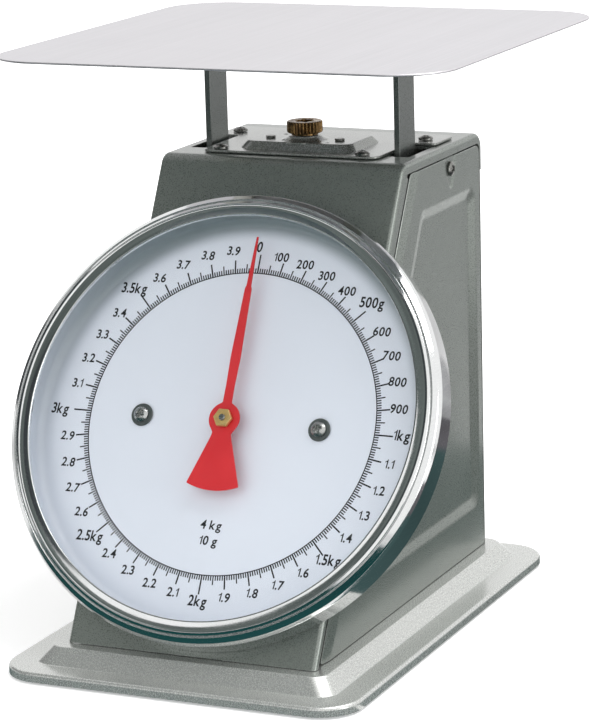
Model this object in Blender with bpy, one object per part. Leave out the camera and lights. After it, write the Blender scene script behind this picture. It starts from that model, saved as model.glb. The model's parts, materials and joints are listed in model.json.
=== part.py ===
# Mechanical dial scale with a Roberval linkage, 4 kg in 10 g steps.
# Metres, +Z up, the dial faces -Y. The tray, its two pillars and the carrier move down on
# two equal levers; a rack on the carrier turns the pointer through one full turn.
import math

import bmesh
import bpy
from mathutils import Vector

# Clearances
GAP = 0.0003  # between pieces that rest on or pass each other
SEAM = 0.0006  # open joint line between body panels
RUN_GAP = 0.0005  # side play between parts of the linkage
BORE_PLAY = 0.00015  # radial play of a shaft in its hole
HOLE_PLAY = 0.0003  # radial play of a screw or stud in its hole
OVERRUN = 0.004  # how far a cutting block stands past what it cuts

# Base plate and feet
BASE_WIDTH = 0.1784
BASE_DEPTH = 0.2688
BASE_CORNER = 0.020
BASE_SHEET = 0.0012
LIP_HEIGHT = 0.0046
LIP_ROUND = 0.0018
FLANGE_WIDTH = 0.0130
RAMP_RUN = 0.0060
RAMP_RISE = 0.0074
RAMP_CORNER = 0.0045
FOOT_RADIUS = 0.0080
FOOT_PROUD = 0.0012
FOOT_INSET = 0.0340

# Housing
BODY_WIDTH = 0.1270
BODY_DEPTH = 0.2174
BODY_HEIGHT = 0.2126
FRONT_SLOPE = math.radians(28.7)  # the front leans back from upright
BODY_SHEET = 0.0010
SIDE_SHEET = 0.0012
TOP_FRONT_ROUND = 0.0070
TOP_REAR_ROUND = 0.0080
EDGE_BEND = 0.0022
SIDE_RETURN = 0.0052  # width of the wrap's bent edge seen from the side
REAR_RETURN = 0.0026
REAR_LIP = 0.0110
LIP_PROUD = 0.0013
REAR_NOTCH_WIDTH = 0.0908
REAR_NOTCH_DEPTH = 0.0055
REAR_NOTCH_DROP = 0.0080
PANEL_CORNER = 0.0040
PANEL_FOOT_CORNER = 0.0010
FOLD_WIDTH = 0.0084
FOLD_DROP = 0.0024
RECESS_FRONT = 0.0317
RECESS_TOP = 0.0256
RECESS_REAR = 0.0092
RECESS_BOTTOM = 0.0217
RECESS_CORNER = 0.0060
RECESS_BEVEL = 0.0060
RECESS_DEPTH = 0.0019
DIMPLE_WIDTH = 0.0120
DIMPLE_HEIGHT = 0.0165
DIMPLE_DEPTH = 0.0007
DIMPLE_POINT_SHARE = 0.6  # of its height, below the screw
SIDE_SCREW_Y = 0.0675
SIDE_SCREW_DROP = 0.0118
TAB_WIDTH = 0.0240
TAB_HEIGHT = 0.0200
TAB_SHEET = 0.0012

# Pillars, tray and what carries it
PILLAR_SPACING = 0.0998  # centre to centre
PILLAR_THICK = 0.0030
PILLAR_DEPTH = 0.0195
PILLAR_Y = 0.0422
PILLAR_TURN = 0.0140  # bent top edge of a pillar
PILLAR_FOOT_LAP = 0.0460  # overlap of a pillar on the carrier's side plate
SLOT_OUTER = 0.0577
SLOT_INNER = 0.0465
SLOT_FRONT = 0.0280
SLOT_REAR = 0.0580
TRAY_RISE = 0.0559  # tray's top above the housing's
TRAY_WIDTH = 0.2300
TRAY_DEPTH = 0.2300
TRAY_CENTRE_Y = 0.0347
TRAY_CORNER = 0.0220
TRAY_SHEET = 0.0010
TRAY_PEG_RADIUS = 0.0025
TRAY_PEG_LENGTH = 0.0060
BAR_LENGTH = 0.1300
BAR_WIDTH = 0.0180
BAR_SHEET = 0.0020
BAR_END_INSET = 0.0120
CROSS_WIDTH = 0.0160
GROMMET_RADIUS = 0.0055
GROMMET_NECK = 0.0040
GROMMET_HEAD = 0.0018

# Top plate, zero adjuster and its guides
PLATE_SHEET = 0.0012
PLATE_FRONT_HALF = 0.0460
PLATE_REAR_HALF = 0.0585
PLATE_FRONT_Y = 0.0155
PLATE_STEP_Y = 0.0600
PLATE_REAR_Y = 0.0860
PLATE_CORNER = 0.0050
PLATEAU_HALF = 0.0302
PLATEAU_FRONT_Y = 0.0232
PLATEAU_REAR_Y = 0.0620
PLATEAU_CORNER = 0.0060
PLATEAU_RISE = 0.0035
PLATEAU_BEVEL = 0.0026
BOSS_RADIUS = 0.0122
BOSS_TOP_RADIUS = 0.0080
BOSS_RISE = 0.0022
OPENING_MARGIN = 0.0030  # wrap opening, inside the plateau's foot
KNOB_Y = 0.0366
KNOB_RADIUS = 0.0089
KNOB_HEIGHT = 0.0057
KNOB_COLLAR_RADIUS = 0.0066
KNOB_COLLAR = 0.0010
KNOB_FLUTES = 22
KNOB_FLUTE_DEPTH = 0.0005
KNOB_EDGE = 0.0006
SOCKET_RADIUS = 0.0044
SOCKET_LOBE = 0.0006
SOCKET_LOBES = 6
SOCKET_DEPTH = 0.0024
SOCKET_FLOOR = 0.0010
ZERO_SCREW_RADIUS = 0.0025
ZERO_SCREW_PITCH = 0.0010
ZERO_TRAVEL = 0.0020  # either way
GUIDE_SPACING = 0.0366
GUIDE_RADIUS = 0.0020
GUIDE_HEAD_RADIUS = 0.0029
GUIDE_HEAD = 0.0016
GUIDE_LENGTH = 0.0300
HANGER_DROP = 0.0180  # top of the hanger below the housing top
HANGER_HALF = 0.0340
HANGER_DEPTH = 0.0120
HANGER_THICK = 0.0030
HANGER_BOSS_RADIUS = 0.0052
HANGER_BOSS = 0.0060
EYE_TAB_WIDTH = 0.0080
EYE_TAB_DROP = 0.0090
EYE_TAB_THICK = 0.0020

# Springs
SPRING_SPACING = 0.0600
SPRING_RADIUS = 0.0050  # mean radius of the coil
SPRING_WIRE = 0.0008  # wire radius
SPRING_EYE = 0.0030
SPRING_CURLS = 13
SPRING_LEAD = 0.0040  # height in which the wire runs from eye to coil
EYE_HOLE = 0.0014
EYE_EDGE = 0.0022  # eye hole to the edge of its tab
POINTS_PER_CURL = 8
EYE_TURN = math.radians(285)

# Linkage
LEVER_LENGTH = 0.0800
LEVER_ARM_HEIGHT = 0.0130
LEVER_SHEET = 0.0020
LEVER_END_SHARE = 0.98  # roundness of an arm's end
LEVER_WEB_NEAR = 0.0190
LEVER_WEB_WIDTH = 0.0160
FRAME_PIVOT_Y = 0.0920
LOWER_PIVOT_HEIGHT = 0.0662
LEVER_SPACING = 0.1130
PIN_RADIUS = 0.0020
CARRIER_SHEET = 0.0020
CARRIER_EAR = 0.0080  # half height of an ear round its pin
EAR_CURVE_SHARE = 0.6
CARRIER_REAR_Y = 0.0540
CARRIER_POST_Y = 0.0320
CROSSBAR_HEIGHT = 0.1250  # top edge of the spring crossbar
CROSSBAR_DEEP = 0.0160
CROSSBAR_THICK = 0.0020
FRAME_SHEET = 0.0020
FRAME_REAR_Y = 0.1030
FRAME_POST = 0.0190
FRAME_FRONT_Y = 0.0140
FRAME_FOOT_Y = 0.0560
FRAME_NOSE = 0.0080
FRAME_GUSSET_Y = 0.0680
FRAME_GUSSET = 0.0160
FRAME_BRACE = 0.0320

# Rack, pinion and spindle, measured inwards from the front panel's face
GEAR_MODULE = 0.0008
PINION_TEETH = 8
TOOTH_THINNING = 0.00030
TOOTH_HEIGHT_SHARE = 0.80  # of a tooth's addendum over the module
TOOTH_TIP_SHARE = 0.30  # half angles of a pinion tooth against that on the pitch circle
TOOTH_ROOT_SHARE = 1.10
TOOTH_CLEARANCE = 0.0002
TOOTH_SLOPE = math.tan(math.radians(20))
PINION_DEPTH = 0.0280
PINION_LENGTH = 0.0160
RACK_DEPTH = 0.0300
RACK_SHEET = 0.0025
RACK_BACK = 0.0050
RACK_SPARE_TEETH = 2
RACK_ARM_LIFT = 0.0060
RACK_ARM_THICK = 0.0025
RACK_ARM_SHARE = 0.2  # of the back's depth left bare beside the arm
RACK_TAB_WIDTH = 0.0120
SPINDLE_RADIUS = 0.0015
BRACKET_DEPTH = 0.0480
BRACKET_SHEET = 0.0020
BRACKET_HALF = 0.0180
BRACKET_HEIGHT = 0.0140
BRACKET_FOOT = 0.0090
BUSH_RADIUS = 0.0050
BUSH_FLANGE_RADIUS = 0.0070
BUSH_FLANGE = 0.0012
BUSH_LENGTH = 0.0080

# Dial, measured outwards from the front panel's face
DIAL_HEIGHT = 0.1110  # of its centre on the front panel
CASE_SHEET = 0.0008
CASE_WALL_HEIGHT = 0.0100
CASE_CENTRE_HOLE = 0.0120
DIAL_SHEET = 0.0010
DIAL_FLAT_RADIUS = 0.0955
DIAL_DISH_ROUND = 0.0050
DIAL_RIM_HEIGHT = 0.0120
DIAL_BORE = 0.0040
DIAL_SCREW_SPACING = 0.0916
WASHER_RADIUS = 0.0055
WASHER_THICK = 0.0006
BEZEL_RADIUS = 0.1087
BEZEL_SHEET = 0.0008
BEZEL_SKIRT_START = 0.0006
BEZEL_BEAD = 0.0017
BEZEL_BEAD_HEIGHT = 0.0156
BEZEL_GROOVE = 0.0011
BEZEL_ROLL = 0.0033
BEZEL_ROLL_HEIGHT = 0.0150
BEZEL_OPENING = 0.0992
BEAD_ARC = math.radians(140)
ROLL_START = math.radians(30)
ROLL_ARC = math.radians(125)
LENS_RADIUS = 0.1038
LENS_THICK = 0.0015
LENS_HEIGHT = 0.0136
GASKET_RADIUS = 0.1036
GASKET_WIDTH = 0.0022
GASKET_THICK = 0.0010
POINTER_HEIGHT = 0.0088
POINTER_SHEET = 0.0008
POINTER_TIP = 0.0890
POINTER_SHOULDER = 0.0640
POINTER_TIP_HALF = 0.0006
POINTER_SHOULDER_HALF = 0.0017
POINTER_MID_HALF = 0.0024
POINTER_ROOT_HALF = 0.0020
POINTER_HUB_RADIUS = 0.0078
POINTER_HUB_ANGLES = [75, 45, 15, -15, -45]  # of the hub's corners, from the right
POINTER_ROOT_SHARE = 1.25  # of the hub's radius, where the blade and the neck start
POINTER_NECK_SHARE = 0.98
POINTER_NECK_HALF = 0.0052
POINTER_TAIL = 0.0345
POINTER_TAIL_HALF = 0.0132
POINTER_HUB_DEEP = 0.0030
NUT_RADIUS = 0.0047
NUT_THICK = 0.0022
SPINDLE_END = 0.0007

# Screws
SCREW_HEAD_RADIUS = 0.0036
SCREW_HEAD = 0.0020
SCREW_DOME_SHARE = 0.7  # radius and height at which the dome of a head bends, and its edge
SCREW_DOME_HEIGHT_SHARE = 0.85
SCREW_EDGE_SHARE = 0.3
SCREW_SHANK_RADIUS = 0.0016
SCREW_LENGTH = 0.0060
DIAL_SCREW_LENGTH = 0.0060
TOP_SCREW_REAR_HALF = 0.0499
TOP_SCREW_REAR_Y = 0.0690
TOP_SCREW_FRONT_HALF = 0.0373
TOP_SCREW_FRONT_Y = 0.0196

# Fineness of round shapes
FINE_STEPS = 48
ROUND_STEPS = 20
SMALL_STEPS = 12
TRAY_STEPS = 8
TOP_BEND_STEPS = 6
CORNER_STEPS = 4
BEND_STEPS = 3
SLOT_STEPS = 2
BEZEL_BEAD_STEPS = 4
BEZEL_ROLL_STEPS = 5

# Places worked out from the sizes
slope_cos, slope_sin = math.cos(FRONT_SLOPE), math.sin(FRONT_SLOPE)
base_top = FOOT_PROUD + LIP_HEIGHT + RAMP_RISE
body_floor = base_top + GAP
body_top = body_floor + BODY_HEIGHT
body_half = BODY_WIDTH / 2
front_y = -BODY_DEPTH / 2
rear_y = BODY_DEPTH / 2
top_underside = body_top - BODY_SHEET
plate_bottom = body_top + GAP
plate_top = plate_bottom + PLATE_SHEET
plateau_top = plate_top + PLATEAU_RISE
boss_top = plateau_top + BOSS_RISE
knob_bottom = boss_top + GAP
pinion_radius = GEAR_MODULE * PINION_TEETH / 2
tooth_pitch = math.pi * GEAR_MODULE
tooth_addendum = GEAR_MODULE * TOOTH_HEIGHT_SHARE
full_travel = math.pi * GEAR_MODULE * PINION_TEETH / slope_cos
rest_angle = math.asin(full_travel / 2 / LEVER_LENGTH)
lever_run, lever_rise = LEVER_LENGTH * math.cos(rest_angle), LEVER_LENGTH * math.sin(rest_angle)
carrier_y = FRAME_PIVOT_Y - lever_run
carrier_z = LOWER_PIVOT_HEIGHT + lever_rise
pillar_inner = (PILLAR_SPACING - PILLAR_THICK) / 2
pillar_outer = pillar_inner + PILLAR_THICK
carrier_outer = pillar_inner - GAP
carrier_inner = carrier_outer - CARRIER_SHEET
arm_outer = carrier_inner - RUN_GAP
arm_inner = arm_outer - LEVER_SHEET
cheek_outer = arm_inner - RUN_GAP
cheek_inner = cheek_outer - FRAME_SHEET
tray_top = body_top + TRAY_RISE
tray_bottom = tray_top - TRAY_SHEET
bar_top = tray_bottom - GAP - GROMMET_HEAD
bar_bottom = bar_top - BAR_SHEET
pillar_top = bar_bottom - GAP
hanger_top = body_top - HANGER_DROP
eye_top = hanger_top - HANGER_THICK - EYE_TAB_DROP + EYE_EDGE
eye_bottom = CROSSBAR_HEIGHT - EYE_EDGE
tray_rear = TRAY_CENTRE_Y + TRAY_DEPTH / 2
origin_shift = (BASE_DEPTH / 2 - max(tray_rear, BASE_DEPTH / 2)) / 2


def front_face_y(height):
    """Where the front panel's outer face is at a height."""
    return front_y + (height - body_floor) * math.tan(FRONT_SLOPE)


# Materials
def material(name, colour, roughness, metallic=0.0, alpha=1.0):
    made = bpy.data.materials.new(name)
    made.use_nodes = True
    shader = made.node_tree.nodes["Principled BSDF"]
    shader.inputs["Base Color"].default_value = (*colour, 1.0)
    shader.inputs["Roughness"].default_value = roughness
    shader.inputs["Metallic"].default_value = metallic
    shader.inputs["Alpha"].default_value = alpha
    made.diffuse_color = (*colour, alpha)
    return made


# Outlines
def rounded(corners, radii, steps=CORNER_STEPS, closed=True):
    """Points of a line through the corners, each corner rounded by its radius."""
    count = len(corners)
    points = []
    for index, (corner, radius) in enumerate(zip(corners, radii)):
        here = Vector(corner)
        if radius <= 0 or (not closed and index in (0, count - 1)):
            points.append(tuple(here))
            continue
        into = (here - Vector(corners[index - 1])).normalized()
        out = (Vector(corners[(index + 1) % count]) - here).normalized()
        turn = math.atan2(into.x * out.y - into.y * out.x, into.dot(out))
        start = here - into * radius * math.tan(abs(turn) / 2)
        side = 1 if turn > 0 else -1
        centre = start + Vector((-into.y, into.x)) * radius * side
        for step in range(steps + 1):
            angle = turn * step / steps
            spoke = start - centre
            points.append((
                centre.x + spoke.x * math.cos(angle) - spoke.y * math.sin(angle),
                centre.y + spoke.x * math.sin(angle) + spoke.y * math.cos(angle),
            ))
    return points


def rectangle(left, right, low, high):
    return [(left, low), (right, low), (right, high), (left, high)]


def rounded_box(width, depth, radius, centre_y=0.0, steps=CORNER_STEPS):
    corners = rectangle(-width / 2, width / 2, centre_y - depth / 2, centre_y + depth / 2)
    return rounded(corners, [radius] * 4, steps)


def circle(radius, steps, centre=(0.0, 0.0)):
    turns = [2 * math.pi * step / steps for step in range(steps)]
    return [(centre[0] + radius * math.cos(a), centre[1] + radius * math.sin(a)) for a in turns]


def offset_line(points, distance):
    """An open line moved sideways to its left, with square mitres at its bends."""
    moved = []
    for index, point in enumerate(points):
        before = Vector(points[max(index - 1, 0)])
        after = Vector(points[min(index + 1, len(points) - 1)])
        here = Vector(point)
        into = (here - before).normalized() if index > 0 else (after - here).normalized()
        out = (after - here).normalized() if index < len(points) - 1 else into
        mean = (into + out).normalized()
        reach = distance / max(mean.dot(out), 0.2)
        moved.append((here.x - mean.y * reach, here.y + mean.x * reach))
    return moved


# How a flat outline (a, b) with a height h lies in space
def lying(a, b, h):
    return (a, b, h)


def sideways(a, b, h):
    return (h, a, b)


def facing(a, b, h):
    return (a, h, b)


# Solids
def new_object(name, mesh, parent=None, finish=None):
    made = bpy.data.objects.new(name, mesh)
    bpy.context.scene.collection.objects.link(made)
    made.parent = parent
    if finish:
        mesh.materials.append(finish)
    return made


def finish_mesh(name, builder, smooth):
    bmesh.ops.recalc_face_normals(builder, faces=builder.faces)
    mesh = bpy.data.meshes.new(name)
    builder.to_mesh(mesh)
    builder.free()
    if smooth:
        mesh.shade_smooth()
        mesh.set_sharp_from_angle(angle=math.radians(35))
    return mesh


def loft(name, loops, parent=None, finish=None, smooth=False):
    """A closed solid through loops of equal count, its first and last loop capped."""
    builder = bmesh.new()
    rings = [[builder.verts.new(point) for point in loop] for loop in loops]
    count = len(loops[0])
    for low, high in zip(rings, rings[1:]):
        for index in range(count):
            after = (index + 1) % count
            builder.faces.new((low[index], low[after], high[after], high[index]))
    builder.faces.new(list(reversed(rings[0])))
    builder.faces.new(rings[-1])
    return new_object(name, finish_mesh(name, builder, smooth), parent, finish)


def plate(name, outline, low, high, lie=lying, parent=None, finish=None, smooth=False):
    """An outline given thickness, from low to high."""
    loops = [[lie(a, b, h) for a, b in outline] for h in (low, high)]
    return loft(name, loops, parent, finish, smooth)


def turned(name, profile, steps=ROUND_STEPS, parent=None, finish=None, closed=True):
    """A profile of (radius, height) points spun round the local Z axis."""
    builder = bmesh.new()
    points = [builder.verts.new((radius, 0.0, height)) for radius, height in profile]
    edges = [builder.edges.new(pair) for pair in zip(points, points[1:])]
    if closed:
        edges.append(builder.edges.new((points[-1], points[0])))
    bmesh.ops.spin(
        builder, geom=points + edges, cent=(0.0, 0.0, 0.0), axis=(0.0, 0.0, 1.0),
        angle=2 * math.pi, steps=steps, use_merge=True, use_duplicate=False,
    )
    bmesh.ops.remove_doubles(builder, verts=builder.verts, dist=GAP / 100)
    return new_object(name, finish_mesh(name, builder, True), parent, finish)


def helper(made):
    made.hide_render = True
    made.display_type = "WIRE"
    return made


def combine(target, other, operation):
    modifier = target.modifiers.new(operation.lower(), "BOOLEAN")
    modifier.object = helper(other)
    modifier.operation = operation
    modifier.solver = "EXACT"


def cut(target, cutter):
    combine(target, cutter, "DIFFERENCE")


def fuse(target, other):
    combine(target, other, "UNION")


def bore(target, radius, centre, low, high, lie=lying, steps=SMALL_STEPS):
    """A round hole through a piece, given in the piece's own frame."""
    hole = plate(target.name + "_bore", circle(radius, steps, centre), low, high, lie, target.parent)
    hole.location = target.location
    hole.rotation_euler = target.rotation_euler
    cut(target, hole)


def empty(name, location, tilt=0.0, parent=None):
    made = bpy.data.objects.new(name, None)
    bpy.context.scene.collection.objects.link(made)
    made.location = location
    made.rotation_euler = (tilt, 0.0, 0.0)
    made.parent = parent
    return made


# Base
def base_loop(inset, height):
    corner = max(BASE_CORNER - inset, RAMP_CORNER)
    box = rounded_box(BASE_WIDTH - 2 * inset, BASE_DEPTH - 2 * inset, corner)
    return [(x, y, FOOT_PROUD + height) for x, y in box]


def make_base(stand, paint):
    """A pressed tray turned over: lip, flange, ramp and the plateau that the body stands on."""
    edge = [(0.0, 0.0), (0.0, LIP_HEIGHT), (FLANGE_WIDTH, LIP_HEIGHT)]
    outer = rounded(edge, [0.0, LIP_ROUND, 0.0], BEND_STEPS, closed=False)
    outer.append((FLANGE_WIDTH + RAMP_RUN, LIP_HEIGHT + RAMP_RISE))
    outer.append((FLANGE_WIDTH + 2 * RAMP_RUN, LIP_HEIGHT + RAMP_RISE))
    inner = offset_line(outer, -BASE_SHEET)
    loops = [base_loop(*point) for point in reversed(outer)] + [base_loop(*point) for point in inner]
    return loft("base_plate", loops, stand, paint)


def make_feet(stand, rubber):
    half_x, half_y = BASE_WIDTH / 2 - FOOT_INSET, BASE_DEPTH / 2 - FOOT_INSET
    top = base_top - BASE_SHEET - GAP
    chamfer = FOOT_PROUD
    profile = [(0.0, top), (FOOT_RADIUS, top), (FOOT_RADIUS, chamfer), (FOOT_RADIUS - chamfer, 0.0),
               (0.0, 0.0)]
    places = {"front_left": (-1, -1), "front_right": (1, -1), "rear_left": (-1, 1), "rear_right": (1, 1)}
    for place, (side, end) in places.items():
        foot = turned("foot_" + place, profile, SMALL_STEPS, stand, rubber, closed=False)
        foot.location = (side * half_x, end * half_y, 0.0)


# Housing
def channel_section(half, bend, depth, sheet):
    """Cross-section of a sheet with both edges bent over: (x, inward depth) points, closed."""
    quarter = [math.pi / 2 * step / BEND_STEPS for step in range(BEND_STEPS + 1)]
    middle = half - bend
    right_outer = [(middle + bend * math.sin(a), bend - bend * math.cos(a)) for a in quarter]
    right_inner = [(middle + (bend - sheet) * math.sin(a), bend - (bend - sheet) * math.cos(a))
                   for a in reversed(quarter)]
    right = right_outer + [(half, depth), (half - sheet, depth)] + right_inner
    return right + [(-x, inward) for x, inward in reversed(right)]


def swept_channel(name, path, inward, depths, parent, finish):
    """The bent-edge section carried along a side-view path of (y, z) points."""
    loops = []
    for (y, z), (turn_y, turn_z), depth in zip(path, inward, depths):
        section = channel_section(body_half, EDGE_BEND, depth, BODY_SHEET)
        loops.append([(x, y + turn_y * h, z + turn_z * h) for x, h in section])
    return loft(name, loops, parent, finish, smooth=True)


def make_wrap(stand, paint, dial_axis):
    """One sheet: sloping front, top, and a short lip down the back, its side edges bent over."""
    lip_y = rear_y + LIP_PROUD
    lip_end = body_top - TOP_REAR_ROUND - REAR_LIP
    corners = [(front_y, body_floor), (front_face_y(body_top), body_top), (lip_y, body_top),
               (lip_y, lip_end)]
    path = rounded(corners, [0.0, TOP_FRONT_ROUND, TOP_REAR_ROUND, 0.0], TOP_BEND_STEPS, closed=False)
    moved = offset_line(path, -BODY_SHEET)
    inward = [((b[0] - a[0]) / BODY_SHEET, (b[1] - a[1]) / BODY_SHEET) for a, b in zip(path, moved)]
    inward[0] = (1 / slope_cos, 0.0)
    bend_start = len(path) - TOP_BEND_STEPS - 2
    depths = []
    for index in range(len(path)):
        past_corner = min(max((index - bend_start) / TOP_BEND_STEPS, 0.0), 1.0)
        depths.append(SIDE_RETURN + (REAR_RETURN + LIP_PROUD - SIDE_RETURN) * past_corner)
    wrap = swept_channel("housing_wrap", path, inward, depths, stand, paint)
    tab_x = body_half - SIDE_SHEET - GAP - TAB_SHEET
    for side in (-1, 1):
        tab = rectangle(SIDE_SCREW_Y - TAB_WIDTH / 2, SIDE_SCREW_Y + TAB_WIDTH / 2,
                        body_top - TAB_HEIGHT, body_top - BODY_SHEET / 2)
        ends = sorted((side * tab_x, side * (tab_x + TAB_SHEET)))
        fuse(wrap, plate("wrap_tab", tab, ends[0], ends[1], sideways, stand))
        slot = rectangle(*sorted((side * SLOT_INNER, side * SLOT_OUTER)), SLOT_FRONT, SLOT_REAR)
        cut(wrap, plate("pillar_slot", rounded(slot, [BODY_SHEET] * 4, SLOT_STEPS), top_underside - OVERRUN,
                        body_top + OVERRUN, lying, stand))
        screw_hole = SCREW_SHANK_RADIUS + HOLE_PLAY
        bore(wrap, screw_hole, (side * TOP_SCREW_REAR_HALF, TOP_SCREW_REAR_Y),
             top_underside - OVERRUN, body_top + OVERRUN)
        bore(wrap, screw_hole, (side * TOP_SCREW_FRONT_HALF, TOP_SCREW_FRONT_Y),
             top_underside - OVERRUN, body_top + OVERRUN)
        side_hole = circle(screw_hole, SMALL_STEPS, (SIDE_SCREW_Y, body_top - SIDE_SCREW_DROP))
        cut(wrap, plate("side_screw_hole", side_hole, ends[0] - OVERRUN / 4, ends[1] + OVERRUN / 4,
                        sideways, stand))
        dial_hole = circle(screw_hole, SMALL_STEPS, (side * DIAL_SCREW_SPACING / 2, 0.0))
        cut(wrap, plate("dial_screw_hole", dial_hole, -OVERRUN, OVERRUN, lying, dial_axis))
    margin = PLATEAU_BEVEL + OPENING_MARGIN
    window = rectangle(margin - PLATEAU_HALF, PLATEAU_HALF - margin, PLATEAU_FRONT_Y + margin,
                       PLATEAU_REAR_Y - margin)
    window = rounded(window, [PLATEAU_CORNER / 2] * 4, BEND_STEPS)
    cut(wrap, plate("top_window", window, top_underside - OVERRUN, body_top + OVERRUN, lying, stand))
    notch = rectangle(-REAR_NOTCH_WIDTH / 2, REAR_NOTCH_WIDTH / 2, lip_y - REAR_NOTCH_DEPTH - LIP_PROUD,
                      lip_y + OVERRUN)
    notch = rounded(notch, [REAR_NOTCH_DEPTH / 3] * 2 + [0.0] * 2, BEND_STEPS)
    cut(wrap, plate("rear_notch", notch, body_top - REAR_NOTCH_DROP, body_top + OVERRUN, lying, stand))
    bush_hole = circle(BUSH_RADIUS + BORE_PLAY, ROUND_STEPS)
    cut(wrap, plate("bush_hole", bush_hole, -OVERRUN, OVERRUN, lying, dial_axis))
    return wrap


def side_outline(front, top, rear, bottom, radii):
    """Four-cornered outline in side view, set in from the body's front, top, rear and foot."""
    low, high = body_floor + bottom, body_top - top
    inset = front / slope_cos
    corners = [(front_face_y(low) + inset, low), (rear_y - rear, low), (rear_y - rear, high),
               (front_face_y(high) + inset, high)]
    return rounded(corners, radii)


def make_side_panel(name, side, stand, paint):
    """A pressed panel: front margin folded in, and a broad recess with bevelled borders."""
    edge = side_outline(SIDE_RETURN + SEAM, SIDE_RETURN + SEAM, REAR_RETURN + SEAM, 0.0,
                        [PANEL_FOOT_CORNER, PANEL_FOOT_CORNER, PANEL_CORNER, PANEL_CORNER])
    rim = side_outline(RECESS_FRONT, RECESS_TOP, RECESS_REAR, RECESS_BOTTOM, [RECESS_CORNER] * 4)
    bed = side_outline(RECESS_FRONT + RECESS_BEVEL, RECESS_TOP + RECESS_BEVEL, RECESS_REAR + RECESS_BEVEL,
                       RECESS_BOTTOM + RECESS_BEVEL, [RECESS_CORNER / 2] * 4)
    builder = bmesh.new()
    rings = []
    for outline, depth in ((edge, 0.0), (rim, 0.0), (bed, RECESS_DEPTH)):
        rings.append([builder.verts.new((side * (body_half - depth), y, z)) for y, z in outline])
    for outer, inner in zip(rings, rings[1:]):
        for index in range(len(outer)):
            after = (index + 1) % len(outer)
            builder.faces.new((outer[index], outer[after], inner[after], inner[index]))
    builder.faces.new(rings[-1])
    fold = SIDE_RETURN + SEAM + FOLD_WIDTH
    forward = Vector((0.0, -slope_cos, slope_sin))
    fold_point = Vector((0.0, front_y + fold / slope_cos, body_floor))
    everything = builder.verts[:] + builder.edges[:] + builder.faces[:]
    bmesh.ops.bisect_plane(builder, geom=everything, plane_co=fold_point, plane_no=forward, dist=GAP / 100)
    for vertex in builder.verts:
        past = (vertex.co - fold_point).dot(forward)
        vertex.co.x -= side * FOLD_DROP / FOLD_WIDTH * max(past, 0.0)
    bmesh.ops.recalc_face_normals(builder, faces=builder.faces)
    outward = sum(face.normal.x * face.calc_area() for face in builder.faces) * side
    if outward < 0:
        bmesh.ops.reverse_faces(builder, faces=builder.faces)
    mesh = bpy.data.meshes.new(name)
    builder.to_mesh(mesh)
    builder.free()
    panel = new_object(name, mesh, stand, paint)
    thickness = panel.modifiers.new("sheet", "SOLIDIFY")
    thickness.thickness = SIDE_SHEET
    thickness.offset = -1.0
    screw_z = body_top - SIDE_SCREW_DROP
    ends = sorted((side * (body_half - DIMPLE_DEPTH), side * (body_half + OVERRUN)))
    half = DIMPLE_WIDTH / 2
    edge_z = screw_z + DIMPLE_HEIGHT / 2
    drop = [(SIDE_SCREW_Y + half, edge_z), (SIDE_SCREW_Y - half, edge_z),
            (SIDE_SCREW_Y - half, screw_z), (SIDE_SCREW_Y, screw_z - DIMPLE_HEIGHT * DIMPLE_POINT_SHARE),
            (SIDE_SCREW_Y + half, screw_z)]
    drop = rounded(drop, [0.0, 0.0, half / 2, half / 4, half / 2], BEND_STEPS)
    cut(panel, plate(name + "_dimple", drop, ends[0], ends[1], sideways, stand))
    through = sorted((side * (body_half - SIDE_SHEET - OVERRUN), side * (body_half + OVERRUN)))
    hole = circle(SCREW_SHANK_RADIUS + HOLE_PLAY, SMALL_STEPS, (SIDE_SCREW_Y, screw_z))
    cut(panel, plate(name + "_hole", hole, through[0], through[1], sideways, stand))
    return panel


def make_rear_panel(stand, paint):
    """A flat sheet bent round the body's rear corners; its middle rises behind the lip into the notch."""
    top = body_top - TOP_REAR_ROUND - REAR_LIP - SEAM / 2
    path = [(rear_y, body_floor), (rear_y, top)]
    panel = swept_channel("rear_panel", path, [(-1.0, 0.0)] * 2, [REAR_RETURN] * 2, stand, paint)
    high = top_underside - GAP
    front = rear_y - REAR_NOTCH_DEPTH + GAP
    middle = [(rear_y, top - EDGE_BEND), (rear_y, high), (front, high), (front, high - BODY_SHEET),
              (rear_y - BODY_SHEET, high - BODY_SHEET), (rear_y - BODY_SHEET, top - EDGE_BEND)]
    middle = rounded(middle, [0.0, EDGE_BEND, 0.0, 0.0, EDGE_BEND - BODY_SHEET, 0.0], BEND_STEPS)
    half = REAR_NOTCH_WIDTH / 2 - SEAM
    fuse(panel, plate("rear_middle", middle, -half, half, sideways, stand))
    return panel


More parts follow.
